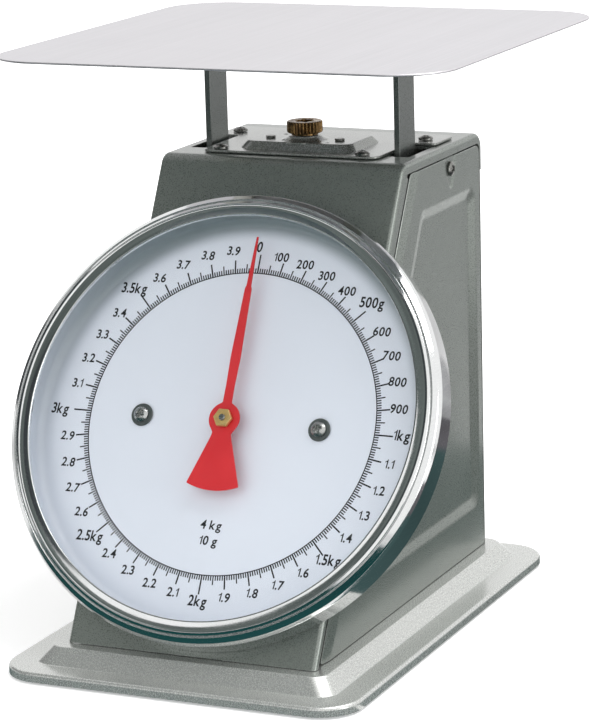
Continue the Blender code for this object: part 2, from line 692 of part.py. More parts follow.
# Top plate
def make_top_plate(stand, paint):
    """Stamped plate notched round the pillars, with a raised plateau and the adjuster's boss."""
    half_front = [(-PLATE_FRONT_HALF, PLATE_STEP_Y), (-PLATE_FRONT_HALF, PLATE_FRONT_Y)]
    half_rear = [(-PLATE_REAR_HALF, PLATE_REAR_Y), (-PLATE_REAR_HALF, PLATE_STEP_Y)]
    left = half_rear + half_front
    outline = left + [(-x, y) for x, y in reversed(left)]
    radii = [PLATE_CORNER, PLATE_CORNER / 2, PLATE_CORNER / 2, PLATE_CORNER]
    body = plate("top_plate", rounded(outline, radii + radii[::-1]), plate_bottom, plate_top,
                 lying, stand, paint)
    centre = (PLATEAU_FRONT_Y + PLATEAU_REAR_Y) / 2
    deep = PLATEAU_REAR_Y - PLATEAU_FRONT_Y

    def pad(name, shrink, low, high):
        loops = []
        for inset, height in ((shrink, low), (shrink + PLATEAU_BEVEL, high)):
            box = rounded_box(2 * (PLATEAU_HALF - inset), deep - 2 * inset, PLATEAU_CORNER, centre)
            loops.append([(x, y, height) for x, y in box])
        return loft(name, loops, stand)

    fuse(body, pad("plateau_pad", 0.0, plate_top - PLATE_SHEET / 2, plateau_top))
    flare = [(0.0, plateau_top - PLATE_SHEET / 2), (BOSS_RADIUS, plateau_top - PLATE_SHEET / 2),
             (BOSS_RADIUS, plateau_top), ((BOSS_RADIUS + BOSS_TOP_RADIUS) / 2, plateau_top + BOSS_RISE / 3),
             (BOSS_TOP_RADIUS, boss_top), (0.0, boss_top)]
    boss = turned("adjuster_boss", flare, ROUND_STEPS, stand, closed=False)
    boss.location.y = KNOB_Y
    fuse(body, boss)
    cut(body, pad("plateau_hollow", PLATE_SHEET, plate_bottom - PLATE_SHEET / 2, plateau_top - PLATE_SHEET))
    low, high = plate_bottom - OVERRUN, boss_top + OVERRUN
    bore(body, ZERO_SCREW_RADIUS + HOLE_PLAY, (0.0, KNOB_Y), low, high)
    for side in (-1, 1):
        bore(body, GUIDE_RADIUS + HOLE_PLAY, (side * GUIDE_SPACING / 2, KNOB_Y), low, high)
        screw_hole = SCREW_SHANK_RADIUS + HOLE_PLAY
        bore(body, screw_hole, (side * TOP_SCREW_REAR_HALF, TOP_SCREW_REAR_Y), low, high)
        bore(body, screw_hole, (side * TOP_SCREW_FRONT_HALF, TOP_SCREW_FRONT_Y), low, high)
    return body


# Screws
def screw_profile(length):
    dome = (SCREW_HEAD_RADIUS * SCREW_DOME_SHARE, SCREW_HEAD * SCREW_DOME_HEIGHT_SHARE)
    return [(0.0, SCREW_HEAD), dome, (SCREW_HEAD_RADIUS, SCREW_HEAD * SCREW_EDGE_SHARE),
            (SCREW_HEAD_RADIUS, 0.0), (SCREW_SHANK_RADIUS, 0.0), (SCREW_SHANK_RADIUS, -length),
            (0.0, -length)]


def make_screw(name, location, turn, length, parent, steel):
    made = turned(name, screw_profile(length), SMALL_STEPS, parent, steel, closed=False)
    made.location = location
    made.rotation_euler = turn
    return made


def make_body_screws(stand, steel):
    seat = plate_top + GAP
    for word, side in (("left", -1), ("right", 1)):
        make_screw("plate_screw_rear_" + word, (side * TOP_SCREW_REAR_HALF, TOP_SCREW_REAR_Y, seat),
                   (0.0, 0.0, 0.0), SCREW_LENGTH, stand, steel)
        make_screw("plate_screw_front_" + word, (side * TOP_SCREW_FRONT_HALF, TOP_SCREW_FRONT_Y, seat),
                   (0.0, 0.0, 0.0), SCREW_LENGTH, stand, steel)
        x = side * (body_half - DIMPLE_DEPTH + GAP)
        make_screw("side_screw_" + word, (x, SIDE_SCREW_Y, body_top - SIDE_SCREW_DROP),
                   (0.0, side * math.pi / 2, 0.0), SCREW_LENGTH, stand, steel)


# Zero adjuster
def knob_ring(radius, height, ripple=0.0, waves=0):
    count = KNOB_FLUTES * 2
    points = []
    for index in range(count):
        angle = 2 * math.pi * index / count
        reach = radius + ripple * math.cos(waves * angle)
        points.append((reach * math.cos(angle), reach * math.sin(angle), height))
    return points


def make_knob(stand, brass):
    """Knurled brass nut with a collar below, a blind bore and a lobed socket in its top."""
    top = KNOB_COLLAR + KNOB_HEIGHT
    bore_radius = ZERO_SCREW_RADIUS + BORE_PLAY
    bore_top = top - SOCKET_DEPTH - SOCKET_FLOOR
    flute_radius = KNOB_RADIUS - KNOB_FLUTE_DEPTH / 2
    flutes = (KNOB_FLUTE_DEPTH / 2, KNOB_FLUTES)
    lobes = (SOCKET_LOBE, SOCKET_LOBES)
    loops = [
        knob_ring(bore_radius, bore_top), knob_ring(bore_radius, 0.0),
        knob_ring(KNOB_COLLAR_RADIUS, 0.0), knob_ring(KNOB_COLLAR_RADIUS, KNOB_COLLAR),
        knob_ring(KNOB_RADIUS - KNOB_EDGE, KNOB_COLLAR),
        knob_ring(flute_radius, KNOB_COLLAR + KNOB_EDGE, *flutes),
        knob_ring(flute_radius, top - KNOB_EDGE, *flutes),
        knob_ring(KNOB_RADIUS - KNOB_EDGE, top),
        knob_ring(SOCKET_RADIUS, top, *lobes), knob_ring(SOCKET_RADIUS, top - SOCKET_DEPTH, *lobes),
    ]
    knob = loft("zero_knob", loops, stand, brass)
    knob.location = (0.0, KNOB_Y, knob_bottom)
    return bore_top


def make_zero_adjuster(stand, brass, steel):
    """The screw turns with the knob and lifts the spring hanger, which two studs keep from turning."""
    bore_top = make_knob(stand, brass)
    tip = hanger_top - HANGER_BOSS - ZERO_TRAVEL - GAP
    high = bore_top - GAP
    low = tip - knob_bottom
    screw = turned("zero_screw", [(0.0, high), (ZERO_SCREW_RADIUS, high), (ZERO_SCREW_RADIUS, low),
                                  (0.0, low)], SMALL_STEPS, stand, steel, closed=False)
    screw.location = (0.0, KNOB_Y, knob_bottom)
    seat = plateau_top + GAP
    profile = [(0.0, GUIDE_HEAD), (GUIDE_HEAD_RADIUS * SCREW_DOME_SHARE, GUIDE_HEAD),
               (GUIDE_HEAD_RADIUS, GUIDE_HEAD / 2), (GUIDE_HEAD_RADIUS, 0.0), (GUIDE_RADIUS, 0.0),
               (GUIDE_RADIUS, -GUIDE_LENGTH), (0.0, -GUIDE_LENGTH)]
    for word, side in (("left", -1), ("right", 1)):
        stud = turned("guide_stud_" + word, profile, SMALL_STEPS, stand, steel, closed=False)
        stud.location = (side * GUIDE_SPACING / 2, KNOB_Y, seat)


def make_hanger(stand, steel):
    """A bar on the zero screw, with a tab and an eye at each end for the springs."""
    half = HANGER_DEPTH / 2
    outline = rounded(rectangle(-HANGER_HALF, HANGER_HALF, -half, half), [half / 2] * 4, BEND_STEPS)
    hanger = plate("spring_hanger", outline, -HANGER_THICK, 0.0, lying, stand, steel)
    place = (0.0, KNOB_Y, hanger_top)
    hanger.location = place
    boss = plate("hanger_boss", circle(HANGER_BOSS_RADIUS, SMALL_STEPS), -HANGER_BOSS, -HANGER_THICK / 2,
                 lying, stand)
    boss.location = place
    fuse(hanger, boss)
    low = -HANGER_THICK - EYE_TAB_DROP
    for side in (-1, 1):
        x = side * SPRING_SPACING / 2
        tab = rectangle(x - EYE_TAB_WIDTH / 2, x + EYE_TAB_WIDTH / 2, low, -HANGER_THICK / 2)
        tab = rounded(tab, [EYE_EDGE] * 2 + [0.0] * 2, BEND_STEPS)
        tab = plate("eye_tab", tab, -EYE_TAB_THICK / 2, EYE_TAB_THICK / 2, facing, stand)
        tab.location = place
        fuse(hanger, tab)
        bore(hanger, EYE_HOLE, (x, low + EYE_EDGE), -EYE_TAB_THICK, EYE_TAB_THICK, facing)
        bore(hanger, GUIDE_RADIUS + HOLE_PLAY, (side * GUIDE_SPACING / 2, 0.0), -HANGER_THICK - OVERRUN,
             OVERRUN)
    bore(hanger, ZERO_SCREW_RADIUS + BORE_PLAY, (0.0, 0.0), -HANGER_BOSS - OVERRUN, OVERRUN)
    return hanger


# Springs
def spring_points():
    """Upper eye, run out to the coil, the coil, run in and lower eye, hung from the upper eye."""
    points = []
    eye_steps = POINTS_PER_CURL + 2
    for step in range(eye_steps):
        angle = -EYE_TURN * (1 - step / eye_steps)
        points.append((0.0, SPRING_EYE * math.sin(angle), -SPRING_EYE - SPRING_EYE * math.cos(angle)))
    length = eye_top - eye_bottom
    coil_top = -2 * SPRING_EYE - SPRING_LEAD
    coil_drop = length - 4 * SPRING_EYE - 2 * SPRING_LEAD
    lead_steps = POINTS_PER_CURL // 2
    for step in range(lead_steps):
        share = step / lead_steps
        reach = SPRING_RADIUS * math.sin(math.pi / 2 * share)
        angle = math.pi / 2 + math.pi * share
        height = -2 * SPRING_EYE - SPRING_LEAD * share * share * (3 - 2 * share)
        points.append((reach * math.cos(angle), reach * math.sin(angle), height))
    for step in range(SPRING_CURLS * POINTS_PER_CURL + 1):
        angle = 3 * math.pi / 2 + 2 * math.pi * step / POINTS_PER_CURL
        height = coil_top - coil_drop * step / (SPRING_CURLS * POINTS_PER_CURL)
        points.append((SPRING_RADIUS * math.cos(angle), SPRING_RADIUS * math.sin(angle), height))
    for step in range(1, lead_steps + 1):
        share = 1 - step / lead_steps
        reach = SPRING_RADIUS * math.sin(math.pi / 2 * share)
        angle = math.pi / 2 - math.pi * share
        height = -length + 2 * SPRING_EYE + SPRING_LEAD * share * share * (3 - 2 * share)
        points.append((reach * math.cos(angle), reach * math.sin(angle), height))
    for step in range(1, eye_steps + 1):
        angle = EYE_TURN * step / eye_steps
        points.append((0.0, -SPRING_EYE * math.sin(angle), -length + SPRING_EYE + SPRING_EYE * math.cos(angle)))
    return [Vector(point) for point in points]


def least_gap(points, wire):
    """Least distance between stretches of the wire more than half a curl apart, less its diameter."""
    apart = POINTS_PER_CURL // 2 + 1
    pairs = ((a, b) for i, a in enumerate(points) for b in points[i + apart:])
    return min((a - b).length for a, b in pairs) - 2 * wire


def make_springs(stand, steel):
    points = spring_points()
    print(f"spring: least gap to itself {least_gap(points, SPRING_WIRE) * 1000:.2f} mm")
    for word, side in (("left", -1), ("right", 1)):
        curve = bpy.data.curves.new("spring_" + word, "CURVE")
        curve.dimensions = "3D"
        curve.bevel_depth = SPRING_WIRE
        curve.bevel_resolution = 1
        curve.use_fill_caps = True
        line = curve.splines.new("POLY")
        line.points.add(len(points) - 1)
        for target, point in zip(line.points, points):
            target.co = (*point, 1.0)
        curve.materials.append(steel)
        spring = bpy.data.objects.new("spring_" + word, curve)
        bpy.context.scene.collection.objects.link(spring)
        spring.parent = stand
        spring.location = (side * SPRING_SPACING / 2, KNOB_Y, eye_top)


# Linkage
def make_frame(stand, steel):
    """A folded C-shaped frame: back wall, shelf under the housing top, foot, and two cheeks."""
    top = top_underside - GAP
    low = body_floor
    rear = FRAME_REAR_Y
    post = rear - FRAME_POST
    strip = [(FRAME_FOOT_Y, low), (rear, low), (rear, top), (FRAME_FRONT_Y, top),
             (FRAME_FRONT_Y, top - FRAME_SHEET), (rear - FRAME_SHEET, top - FRAME_SHEET),
             (rear - FRAME_SHEET, low + FRAME_SHEET), (FRAME_FOOT_Y, low + FRAME_SHEET)]
    frame = plate("mechanism_frame", strip, -cheek_outer, cheek_outer, sideways, stand, steel)
    cheek = [(FRAME_FOOT_Y, low), (rear, low), (rear, top), (FRAME_FRONT_Y, top),
             (FRAME_FRONT_Y, top - FRAME_NOSE), (FRAME_GUSSET_Y, top - FRAME_GUSSET),
             (post, top - FRAME_BRACE), (post, low + FRAME_BRACE), (FRAME_FOOT_Y, low + FRAME_NOSE)]
    for side in (-1, 1):
        ends = sorted((side * cheek_inner, side * cheek_outer))
        fuse(frame, plate("frame_cheek", cheek, ends[0], ends[1], sideways, stand))
        bore(frame, GUIDE_RADIUS + HOLE_PLAY, (side * GUIDE_SPACING / 2, KNOB_Y), top - FRAME_SHEET - OVERRUN,
             top + OVERRUN)
        bore(frame, SCREW_SHANK_RADIUS + HOLE_PLAY, (side * TOP_SCREW_FRONT_HALF, TOP_SCREW_FRONT_Y),
             top - FRAME_SHEET - OVERRUN, top + OVERRUN)
    bore(frame, ZERO_SCREW_RADIUS + HOLE_PLAY, (0.0, KNOB_Y), top - FRAME_SHEET - OVERRUN, top + OVERRUN)
    for height in (LOWER_PIVOT_HEIGHT, LOWER_PIVOT_HEIGHT + LEVER_SPACING):
        bore(frame, PIN_RADIUS + BORE_PLAY, (FRAME_PIVOT_Y, height), -cheek_outer - OVERRUN,
             cheek_outer + OVERRUN, sideways)
    return frame


def make_pin(name, y, z, half_length, parent, steel):
    profile = [(0.0, half_length), (PIN_RADIUS, half_length), (PIN_RADIUS, -half_length), (0.0, -half_length)]
    pin = turned(name, profile, SMALL_STEPS, parent, steel, closed=False)
    pin.rotation_euler = (0.0, math.pi / 2, 0.0)
    pin.location = (0.0, y, z)
    return pin


def make_lever(name, height, stand, steel):
    """Two flat arms joined by a web; the frame pin is its origin, the arms reach forwards."""
    half = LEVER_ARM_HEIGHT / 2
    outline = rounded(rectangle(-LEVER_LENGTH - half, half, -half, half), [half * LEVER_END_SHARE] * 4)
    place = (0.0, FRAME_PIVOT_Y, height)
    arms = []
    for side in (-1, 1):
        ends = sorted((side * arm_inner, side * arm_outer))
        arms.append(plate(name, outline, ends[0], ends[1], sideways, stand, steel))
    web_box = rectangle(-arm_inner - LEVER_SHEET / 2, arm_inner + LEVER_SHEET / 2,
                        -LEVER_WEB_NEAR - LEVER_WEB_WIDTH, -LEVER_WEB_NEAR)
    web = plate(name + "_web", web_box, -LEVER_SHEET / 2, LEVER_SHEET / 2, lying, stand)
    for piece in arms + [web]:
        piece.location = place
        piece.rotation_euler = (-rest_angle, 0.0, 0.0)
    lever = arms[1]
    arms[0].name = name + "_arm"
    lever.name = name
    fuse(lever, web)
    fuse(lever, arms[0])
    for reach in (0.0, -LEVER_LENGTH):
        bore(lever, PIN_RADIUS + BORE_PLAY, (reach, 0.0), -arm_outer - OVERRUN / 4, arm_outer + OVERRUN / 4,
             sideways)
    return lever


def make_carrier(stand, steel):
    """Two side plates with an ear at each pin, joined by the crossbar that the springs pull up."""
    low, high = -CARRIER_EAR, LEVER_SPACING + CARRIER_EAR
    front = -CARRIER_EAR
    post, rear = CARRIER_POST_Y - carrier_y, CARRIER_REAR_Y - carrier_y
    outline = [(front, low), (rear, low), (rear, high), (front, high), (front, high - 2 * CARRIER_EAR),
               (post, high - 3 * CARRIER_EAR), (post, low + 3 * CARRIER_EAR), (front, low + 2 * CARRIER_EAR)]
    curve = CARRIER_EAR * EAR_CURVE_SHARE
    outline = rounded(outline, [curve, curve / 2, curve / 2, curve, curve, curve, curve, curve], BEND_STEPS)
    place = (0.0, carrier_y, carrier_z)
    sides = []
    for side in (-1, 1):
        ends = sorted((side * carrier_inner, side * carrier_outer))
        sides.append(plate("carrier", outline, ends[0], ends[1], sideways, stand, steel))
    edge = CROSSBAR_HEIGHT - carrier_z
    reach = carrier_inner + CARRIER_SHEET / 2
    bar = plate("carrier_bar", rectangle(-reach, reach, edge - CROSSBAR_DEEP, edge),
                KNOB_Y - carrier_y - CROSSBAR_THICK / 2, KNOB_Y - carrier_y + CROSSBAR_THICK / 2, facing, stand)
    for piece in sides + [bar]:
        piece.location = place
    carrier = sides[1]
    sides[0].name = "carrier_side"
    carrier.name = "carrier"
    fuse(carrier, bar)
    fuse(carrier, sides[0])
    for side in (-1, 1):
        bore(carrier, EYE_HOLE, (side * SPRING_SPACING / 2, edge - EYE_EDGE), KNOB_Y - carrier_y - OVERRUN,
             KNOB_Y - carrier_y + OVERRUN, facing)
    for height in (0.0, LEVER_SPACING):
        bore(carrier, PIN_RADIUS + BORE_PLAY, (0.0, height), -carrier_outer - OVERRUN,
             carrier_outer + OVERRUN, sideways)
    return carrier


def make_linkage(stand, steel, plated):
    make_frame(stand, plated)
    upper = LOWER_PIVOT_HEIGHT + LEVER_SPACING
    for name, height in (("lower", LOWER_PIVOT_HEIGHT), ("upper", upper)):
        make_lever(name + "_lever", height, stand, plated)
        make_pin(name + "_frame_pin", FRAME_PIVOT_Y, height, arm_outer + RUN_GAP, stand, steel)
        make_pin(name + "_carrier_pin", carrier_y, height + lever_rise, carrier_outer - RUN_GAP, stand, steel)
    make_carrier(stand, plated)


# Pillars and tray
def make_pillars(stand, paint):
    """Flat upright bars, their tops turned inwards under the tray's bars."""
    foot = carrier_z + LEVER_SPACING + CARRIER_EAR - PILLAR_FOOT_LAP
    for word, side in (("left", -1), ("right", 1)):
        turned_in = pillar_inner - PILLAR_TURN
        profile = [(pillar_inner, foot), (pillar_outer, foot), (pillar_outer, pillar_top),
                   (turned_in, pillar_top), (turned_in, pillar_top - PILLAR_THICK),
                   (pillar_inner, pillar_top - PILLAR_THICK)]
        bend = PILLAR_THICK
        profile = rounded(profile, [0.0, 0.0, bend, 0.0, 0.0, bend / 4])
        outline = [(side * x, z) for x, z in profile]
        pillar = plate("pillar_" + word, outline, -PILLAR_DEPTH / 2, PILLAR_DEPTH / 2, facing, stand, paint)
        pillar.location.y = PILLAR_Y


def make_tray_bars(stand, plated, rubber):
    """Two bars fore and aft on the pillars, one across, and a grommet at each end for a tray peg."""
    reach = BAR_LENGTH / 2 - BAR_END_INSET
    centre_x = PILLAR_SPACING / 2
    for word, side in (("left", -1), ("right", 1)):
        x = side * centre_x
        box = rectangle(x - BAR_WIDTH / 2, x + BAR_WIDTH / 2, TRAY_CENTRE_Y - BAR_LENGTH / 2,
                        TRAY_CENTRE_Y + BAR_LENGTH / 2)
        bar = plate("tray_bar_" + word, rounded(box, [BAR_WIDTH / 3] * 4), bar_bottom, bar_top, lying,
                    stand, plated)
        for place, end in (("front", -1), ("rear", 1)):
            y = TRAY_CENTRE_Y + end * reach
            bore(bar, GROMMET_NECK + BORE_PLAY, (x, y), bar_bottom - OVERRUN, bar_top + OVERRUN)
            inner = TRAY_PEG_RADIUS + HOLE_PLAY
            low, high = -BAR_SHEET - GAP, GROMMET_HEAD
            profile = [(inner, high), (GROMMET_RADIUS - GROMMET_HEAD / 3, high), (GROMMET_RADIUS, high / 2),
                       (GROMMET_RADIUS, GAP), (GROMMET_NECK, GAP), (GROMMET_NECK, low), (inner, low)]
            grommet = turned("grommet_" + place + "_" + word, profile, SMALL_STEPS, stand, rubber)
            grommet.location = (x, y, bar_top)
    half = centre_x - BAR_WIDTH / 2 - GAP
    low, high = PILLAR_Y - CROSS_WIDTH / 2, PILLAR_Y + CROSS_WIDTH / 2
    plate("tray_cross_bar", rectangle(-half, half, low, high), bar_bottom, bar_top, lying, stand, plated)


def make_tray(stand, stainless):
    """Flat square sheet with round corners and four pegs under it."""
    outline = rounded_box(TRAY_WIDTH, TRAY_DEPTH, TRAY_CORNER, TRAY_CENTRE_Y, TRAY_STEPS)
    tray = plate("tray", outline, tray_bottom, tray_top, lying, stand, stainless)
    for side in (-1, 1):
        for end in (-1, 1):
            centre = (side * PILLAR_SPACING / 2, TRAY_CENTRE_Y + end * (BAR_LENGTH / 2 - BAR_END_INSET))
            fuse(tray, plate("tray_peg", circle(TRAY_PEG_RADIUS, SMALL_STEPS, centre),
                             tray_bottom - TRAY_PEG_LENGTH, tray_bottom + TRAY_SHEET / 2, lying, stand))
    return tray


# Rack and pinion
def rack_outline(lead):
    """Toothed edge on the pitch line, then the plain back, as (x, along) points from bottom to top."""
    half = tooth_pitch / 4 - TOOTH_THINNING / 2
    tip, root = pinion_radius - tooth_addendum, pinion_radius + tooth_addendum + TOOTH_CLEARANCE
    teeth = PINION_TEETH + 2 * RACK_SPARE_TEETH
    line = []
    for tooth in range(teeth):
        middle = (tooth - RACK_SPARE_TEETH) * tooth_pitch + lead
        spread = tooth_addendum * TOOTH_SLOPE
        low_root = (tooth_addendum + TOOTH_CLEARANCE) * TOOTH_SLOPE
        line += [(root, middle - half - low_root), (tip, middle - half + spread),
                 (tip, middle + half - spread), (root, middle + half + low_root)]
    bottom, top = line[0][1] - half, line[-1][1] + RACK_ARM_LIFT
    back = root + RACK_BACK
    return [(root, bottom)] + line + [(root, top), (back, top), (back, bottom)], top


def pinion_outline():
    """Straight-flanked teeth, a space facing the rack."""
    root, tip = pinion_radius - tooth_addendum - TOOTH_CLEARANCE, pinion_radius + tooth_addendum
    half_pitch = (tooth_pitch / 4 - TOOTH_THINNING / 2) / pinion_radius
    half_root, half_tip = half_pitch * TOOTH_ROOT_SHARE, half_pitch * TOOTH_TIP_SHARE
    points = []
    for tooth in range(PINION_TEETH):
        middle = 2 * math.pi * (tooth + 0.5) / PINION_TEETH
        for radius, angle in ((root, -half_root), (pinion_radius, -half_pitch), (tip, -half_tip),
                              (tip, half_tip), (pinion_radius, half_pitch), (root, half_root)):
            points.append((radius * math.cos(middle + angle), radius * math.sin(middle + angle)))
    return points


def make_rack(stand, dial_axis, brass):
    """The rack lies parallel with the dial; an arm carries it forwards from the spring crossbar."""
    arc_error = LEVER_LENGTH * (1 - math.cos(rest_angle)) * slope_sin
    outline, top = rack_outline(arc_error / 2)
    rack = plate("rack", outline, -RACK_DEPTH - RACK_SHEET, -RACK_DEPTH, lying, dial_axis, brass)
    root = pinion_radius + tooth_addendum + TOOTH_CLEARANCE
    inset = RACK_SHEET / 2
    axis = dial_axis.location
    arm_y = axis.y + (RACK_DEPTH + inset) * slope_cos + (top - inset) * slope_sin
    arm_z = axis.z - (RACK_DEPTH + inset) * slope_sin + (top - inset) * slope_cos
    face = KNOB_Y - CROSSBAR_THICK / 2 - GAP
    arm = plate("rack_arm", rectangle(root + RACK_BACK * RACK_ARM_SHARE, root + RACK_BACK, arm_y - inset, face),
                arm_z - RACK_ARM_THICK, arm_z, lying, stand)
    low = CROSSBAR_HEIGHT - CROSSBAR_DEEP
    tab = rectangle(root + RACK_BACK * RACK_ARM_SHARE, root + RACK_TAB_WIDTH, min(low, arm_z - RACK_ARM_THICK),
                    max(arm_z, CROSSBAR_HEIGHT - EYE_EDGE))
    tab = plate("rack_tab", tab, face - RACK_ARM_THICK, face, facing, stand)
    fuse(rack, arm)
    fuse(rack, tab)
    return rack


def make_spindle(dial_axis, steel, brass, plated):
    """Spindle and pinion in a bush through the front panel and a hat-shaped bracket behind it."""
    bracket_low = -BRACKET_DEPTH
    inner = -BODY_SHEET - GAP
    sheet = BRACKET_SHEET
    side = BRACKET_HALF
    right = [(side + BRACKET_FOOT, inner), (side + BRACKET_FOOT, inner - sheet), (side, inner - sheet),
             (side, bracket_low)]
    inside = [(side - sheet, bracket_low + sheet), (side - sheet, inner)]
    hat = right + [(-x, h) for x, h in reversed(right)] + [(-x, h) for x, h in reversed(inside)] + inside
    bracket = plate("spindle_bracket", hat, -BRACKET_HEIGHT / 2, BRACKET_HEIGHT / 2, facing, dial_axis, plated)
    bore(bracket, SPINDLE_RADIUS + BORE_PLAY, (0.0, 0.0), bracket_low - OVERRUN, bracket_low + OVERRUN)
    hole = SPINDLE_RADIUS + BORE_PLAY
    high = CASE_SHEET + GAP
    bush = [(hole, high), (BUSH_RADIUS, high), (BUSH_RADIUS, inner), (BUSH_FLANGE_RADIUS, inner),
            (BUSH_FLANGE_RADIUS, inner - BUSH_FLANGE), (BUSH_RADIUS, inner - BUSH_FLANGE),
            (BUSH_RADIUS, high - BUSH_LENGTH), (hole, high - BUSH_LENGTH)]
    turned("spindle_bush", bush, SMALL_STEPS, dial_axis, brass)
    top = POINTER_HEIGHT + POINTER_SHEET + GAP + NUT_THICK + SPINDLE_END
    low = bracket_low - SPINDLE_END
    turned("spindle", [(0.0, top), (SPINDLE_RADIUS, top), (SPINDLE_RADIUS, low), (0.0, low)], SMALL_STEPS,
           dial_axis, steel, closed=False)
    pinion = plate("pinion", pinion_outline(), -PINION_DEPTH - PINION_LENGTH, -PINION_DEPTH, lying,
                   dial_axis, brass)
    bore(pinion, hole, (0.0, 0.0), -PINION_DEPTH - PINION_LENGTH - OVERRUN, -PINION_DEPTH + OVERRUN)


# Dial
def sheet_profile(outer, sheet):
    """A closed profile: an outer line and the same line moved by the sheet's thickness."""
    return outer + offset_line(outer, sheet)[::-1]


def make_dial(dial_axis, dial_white, rubber, steel, plated):
    """A pan-shaped case, the dished dial in it, and the two screws with ring washers that hold both."""
    case_radius = BEZEL_RADIUS - BEZEL_SHEET - GAP
    back = GAP
    wall = [(case_radius, CASE_WALL_HEIGHT), (case_radius, back), (CASE_CENTRE_HOLE, back)]
    wall = rounded(wall, [0.0, CASE_SHEET * 2, 0.0], SLOT_STEPS, closed=False)
    case = turned("dial_case", sheet_profile(wall, -CASE_SHEET), FINE_STEPS, dial_axis, plated)
    seat = back + CASE_SHEET + GAP
    rim_radius = DIAL_FLAT_RADIUS + DIAL_DISH_ROUND
    dish = [(rim_radius, DIAL_RIM_HEIGHT), (rim_radius, seat), (DIAL_BORE, seat)]
    dish = sheet_profile(rounded(dish, [0.0, DIAL_DISH_ROUND, 0.0], BEND_STEPS, closed=False), -DIAL_SHEET)
    dial = turned("dial_plate", dish, FINE_STEPS, dial_axis, dial_white)
    face = seat + DIAL_SHEET
    for word, side in (("left", -1), ("right", 1)):
        x = side * DIAL_SCREW_SPACING / 2
        hole = SCREW_SHANK_RADIUS + HOLE_PLAY
        bore(case, hole, (x, 0.0), -OVERRUN, OVERRUN)
        bore(dial, hole, (x, 0.0), -OVERRUN, face + OVERRUN)
        ring = [(hole, WASHER_THICK), (WASHER_RADIUS, WASHER_THICK), (WASHER_RADIUS, 0.0), (hole, 0.0)]
        washer = turned("dial_washer_" + word, ring, ROUND_STEPS, dial_axis, rubber)
        washer.location = (x, 0.0, face + GAP)
        make_screw("dial_screw_" + word, (x, 0.0, face + 2 * GAP + WASHER_THICK), (0.0, 0.0, 0.0),
                   DIAL_SCREW_LENGTH, dial_axis, steel)


def bezel_line(bead_steps, roll_steps):
    """Outside of the bezel: skirt, outer bead, groove, broad roll and the lip over the lens."""
    bead_centre = BEZEL_RADIUS - BEZEL_BEAD
    line = [(BEZEL_RADIUS, BEZEL_SKIRT_START)]
    for step in range(bead_steps + 1):
        angle = BEAD_ARC * step / bead_steps
        line.append((bead_centre + BEZEL_BEAD * math.cos(angle),
                     BEZEL_BEAD_HEIGHT + BEZEL_BEAD * math.sin(angle)))
    roll_centre = BEZEL_OPENING + BEZEL_ROLL * math.cos(math.pi - ROLL_START - ROLL_ARC)
    line.append(((line[-1][0] + roll_centre + BEZEL_ROLL) / 2, line[-1][1] - BEZEL_GROOVE / 2))
    for step in range(roll_steps + 1):
        angle = ROLL_START + ROLL_ARC * step / roll_steps
        line.append((roll_centre + BEZEL_ROLL * math.cos(angle),
                     BEZEL_ROLL_HEIGHT + BEZEL_ROLL * math.sin(angle)))
    line.append((BEZEL_OPENING, LENS_HEIGHT + LENS_THICK + GAP))
    return line


def make_bezel(dial_axis, chrome, clear, rubber):
    """The spun ring, with the lens in it and the gasket between the lens and the dial's rim."""
    inside = offset_line(bezel_line(BEZEL_BEAD_STEPS // 2, BEZEL_ROLL_STEPS // 2 + 1), BEZEL_SHEET)
    outside = bezel_line(BEZEL_BEAD_STEPS, BEZEL_ROLL_STEPS)
    turned("bezel", outside + inside[::-1], FINE_STEPS, dial_axis, chrome)
    top = LENS_HEIGHT + LENS_THICK
    turned("lens", [(0.0, top), (LENS_RADIUS, top), (LENS_RADIUS, LENS_HEIGHT), (0.0, LENS_HEIGHT)],
           FINE_STEPS, dial_axis, clear, closed=False)
    high = LENS_HEIGHT - GAP
    inner = GASKET_RADIUS - GASKET_WIDTH
    turned("lens_gasket", [(GASKET_RADIUS, high), (GASKET_RADIUS, high - GASKET_THICK),
                           (inner, high - GASKET_THICK), (inner, high)], FINE_STEPS, dial_axis, rubber)


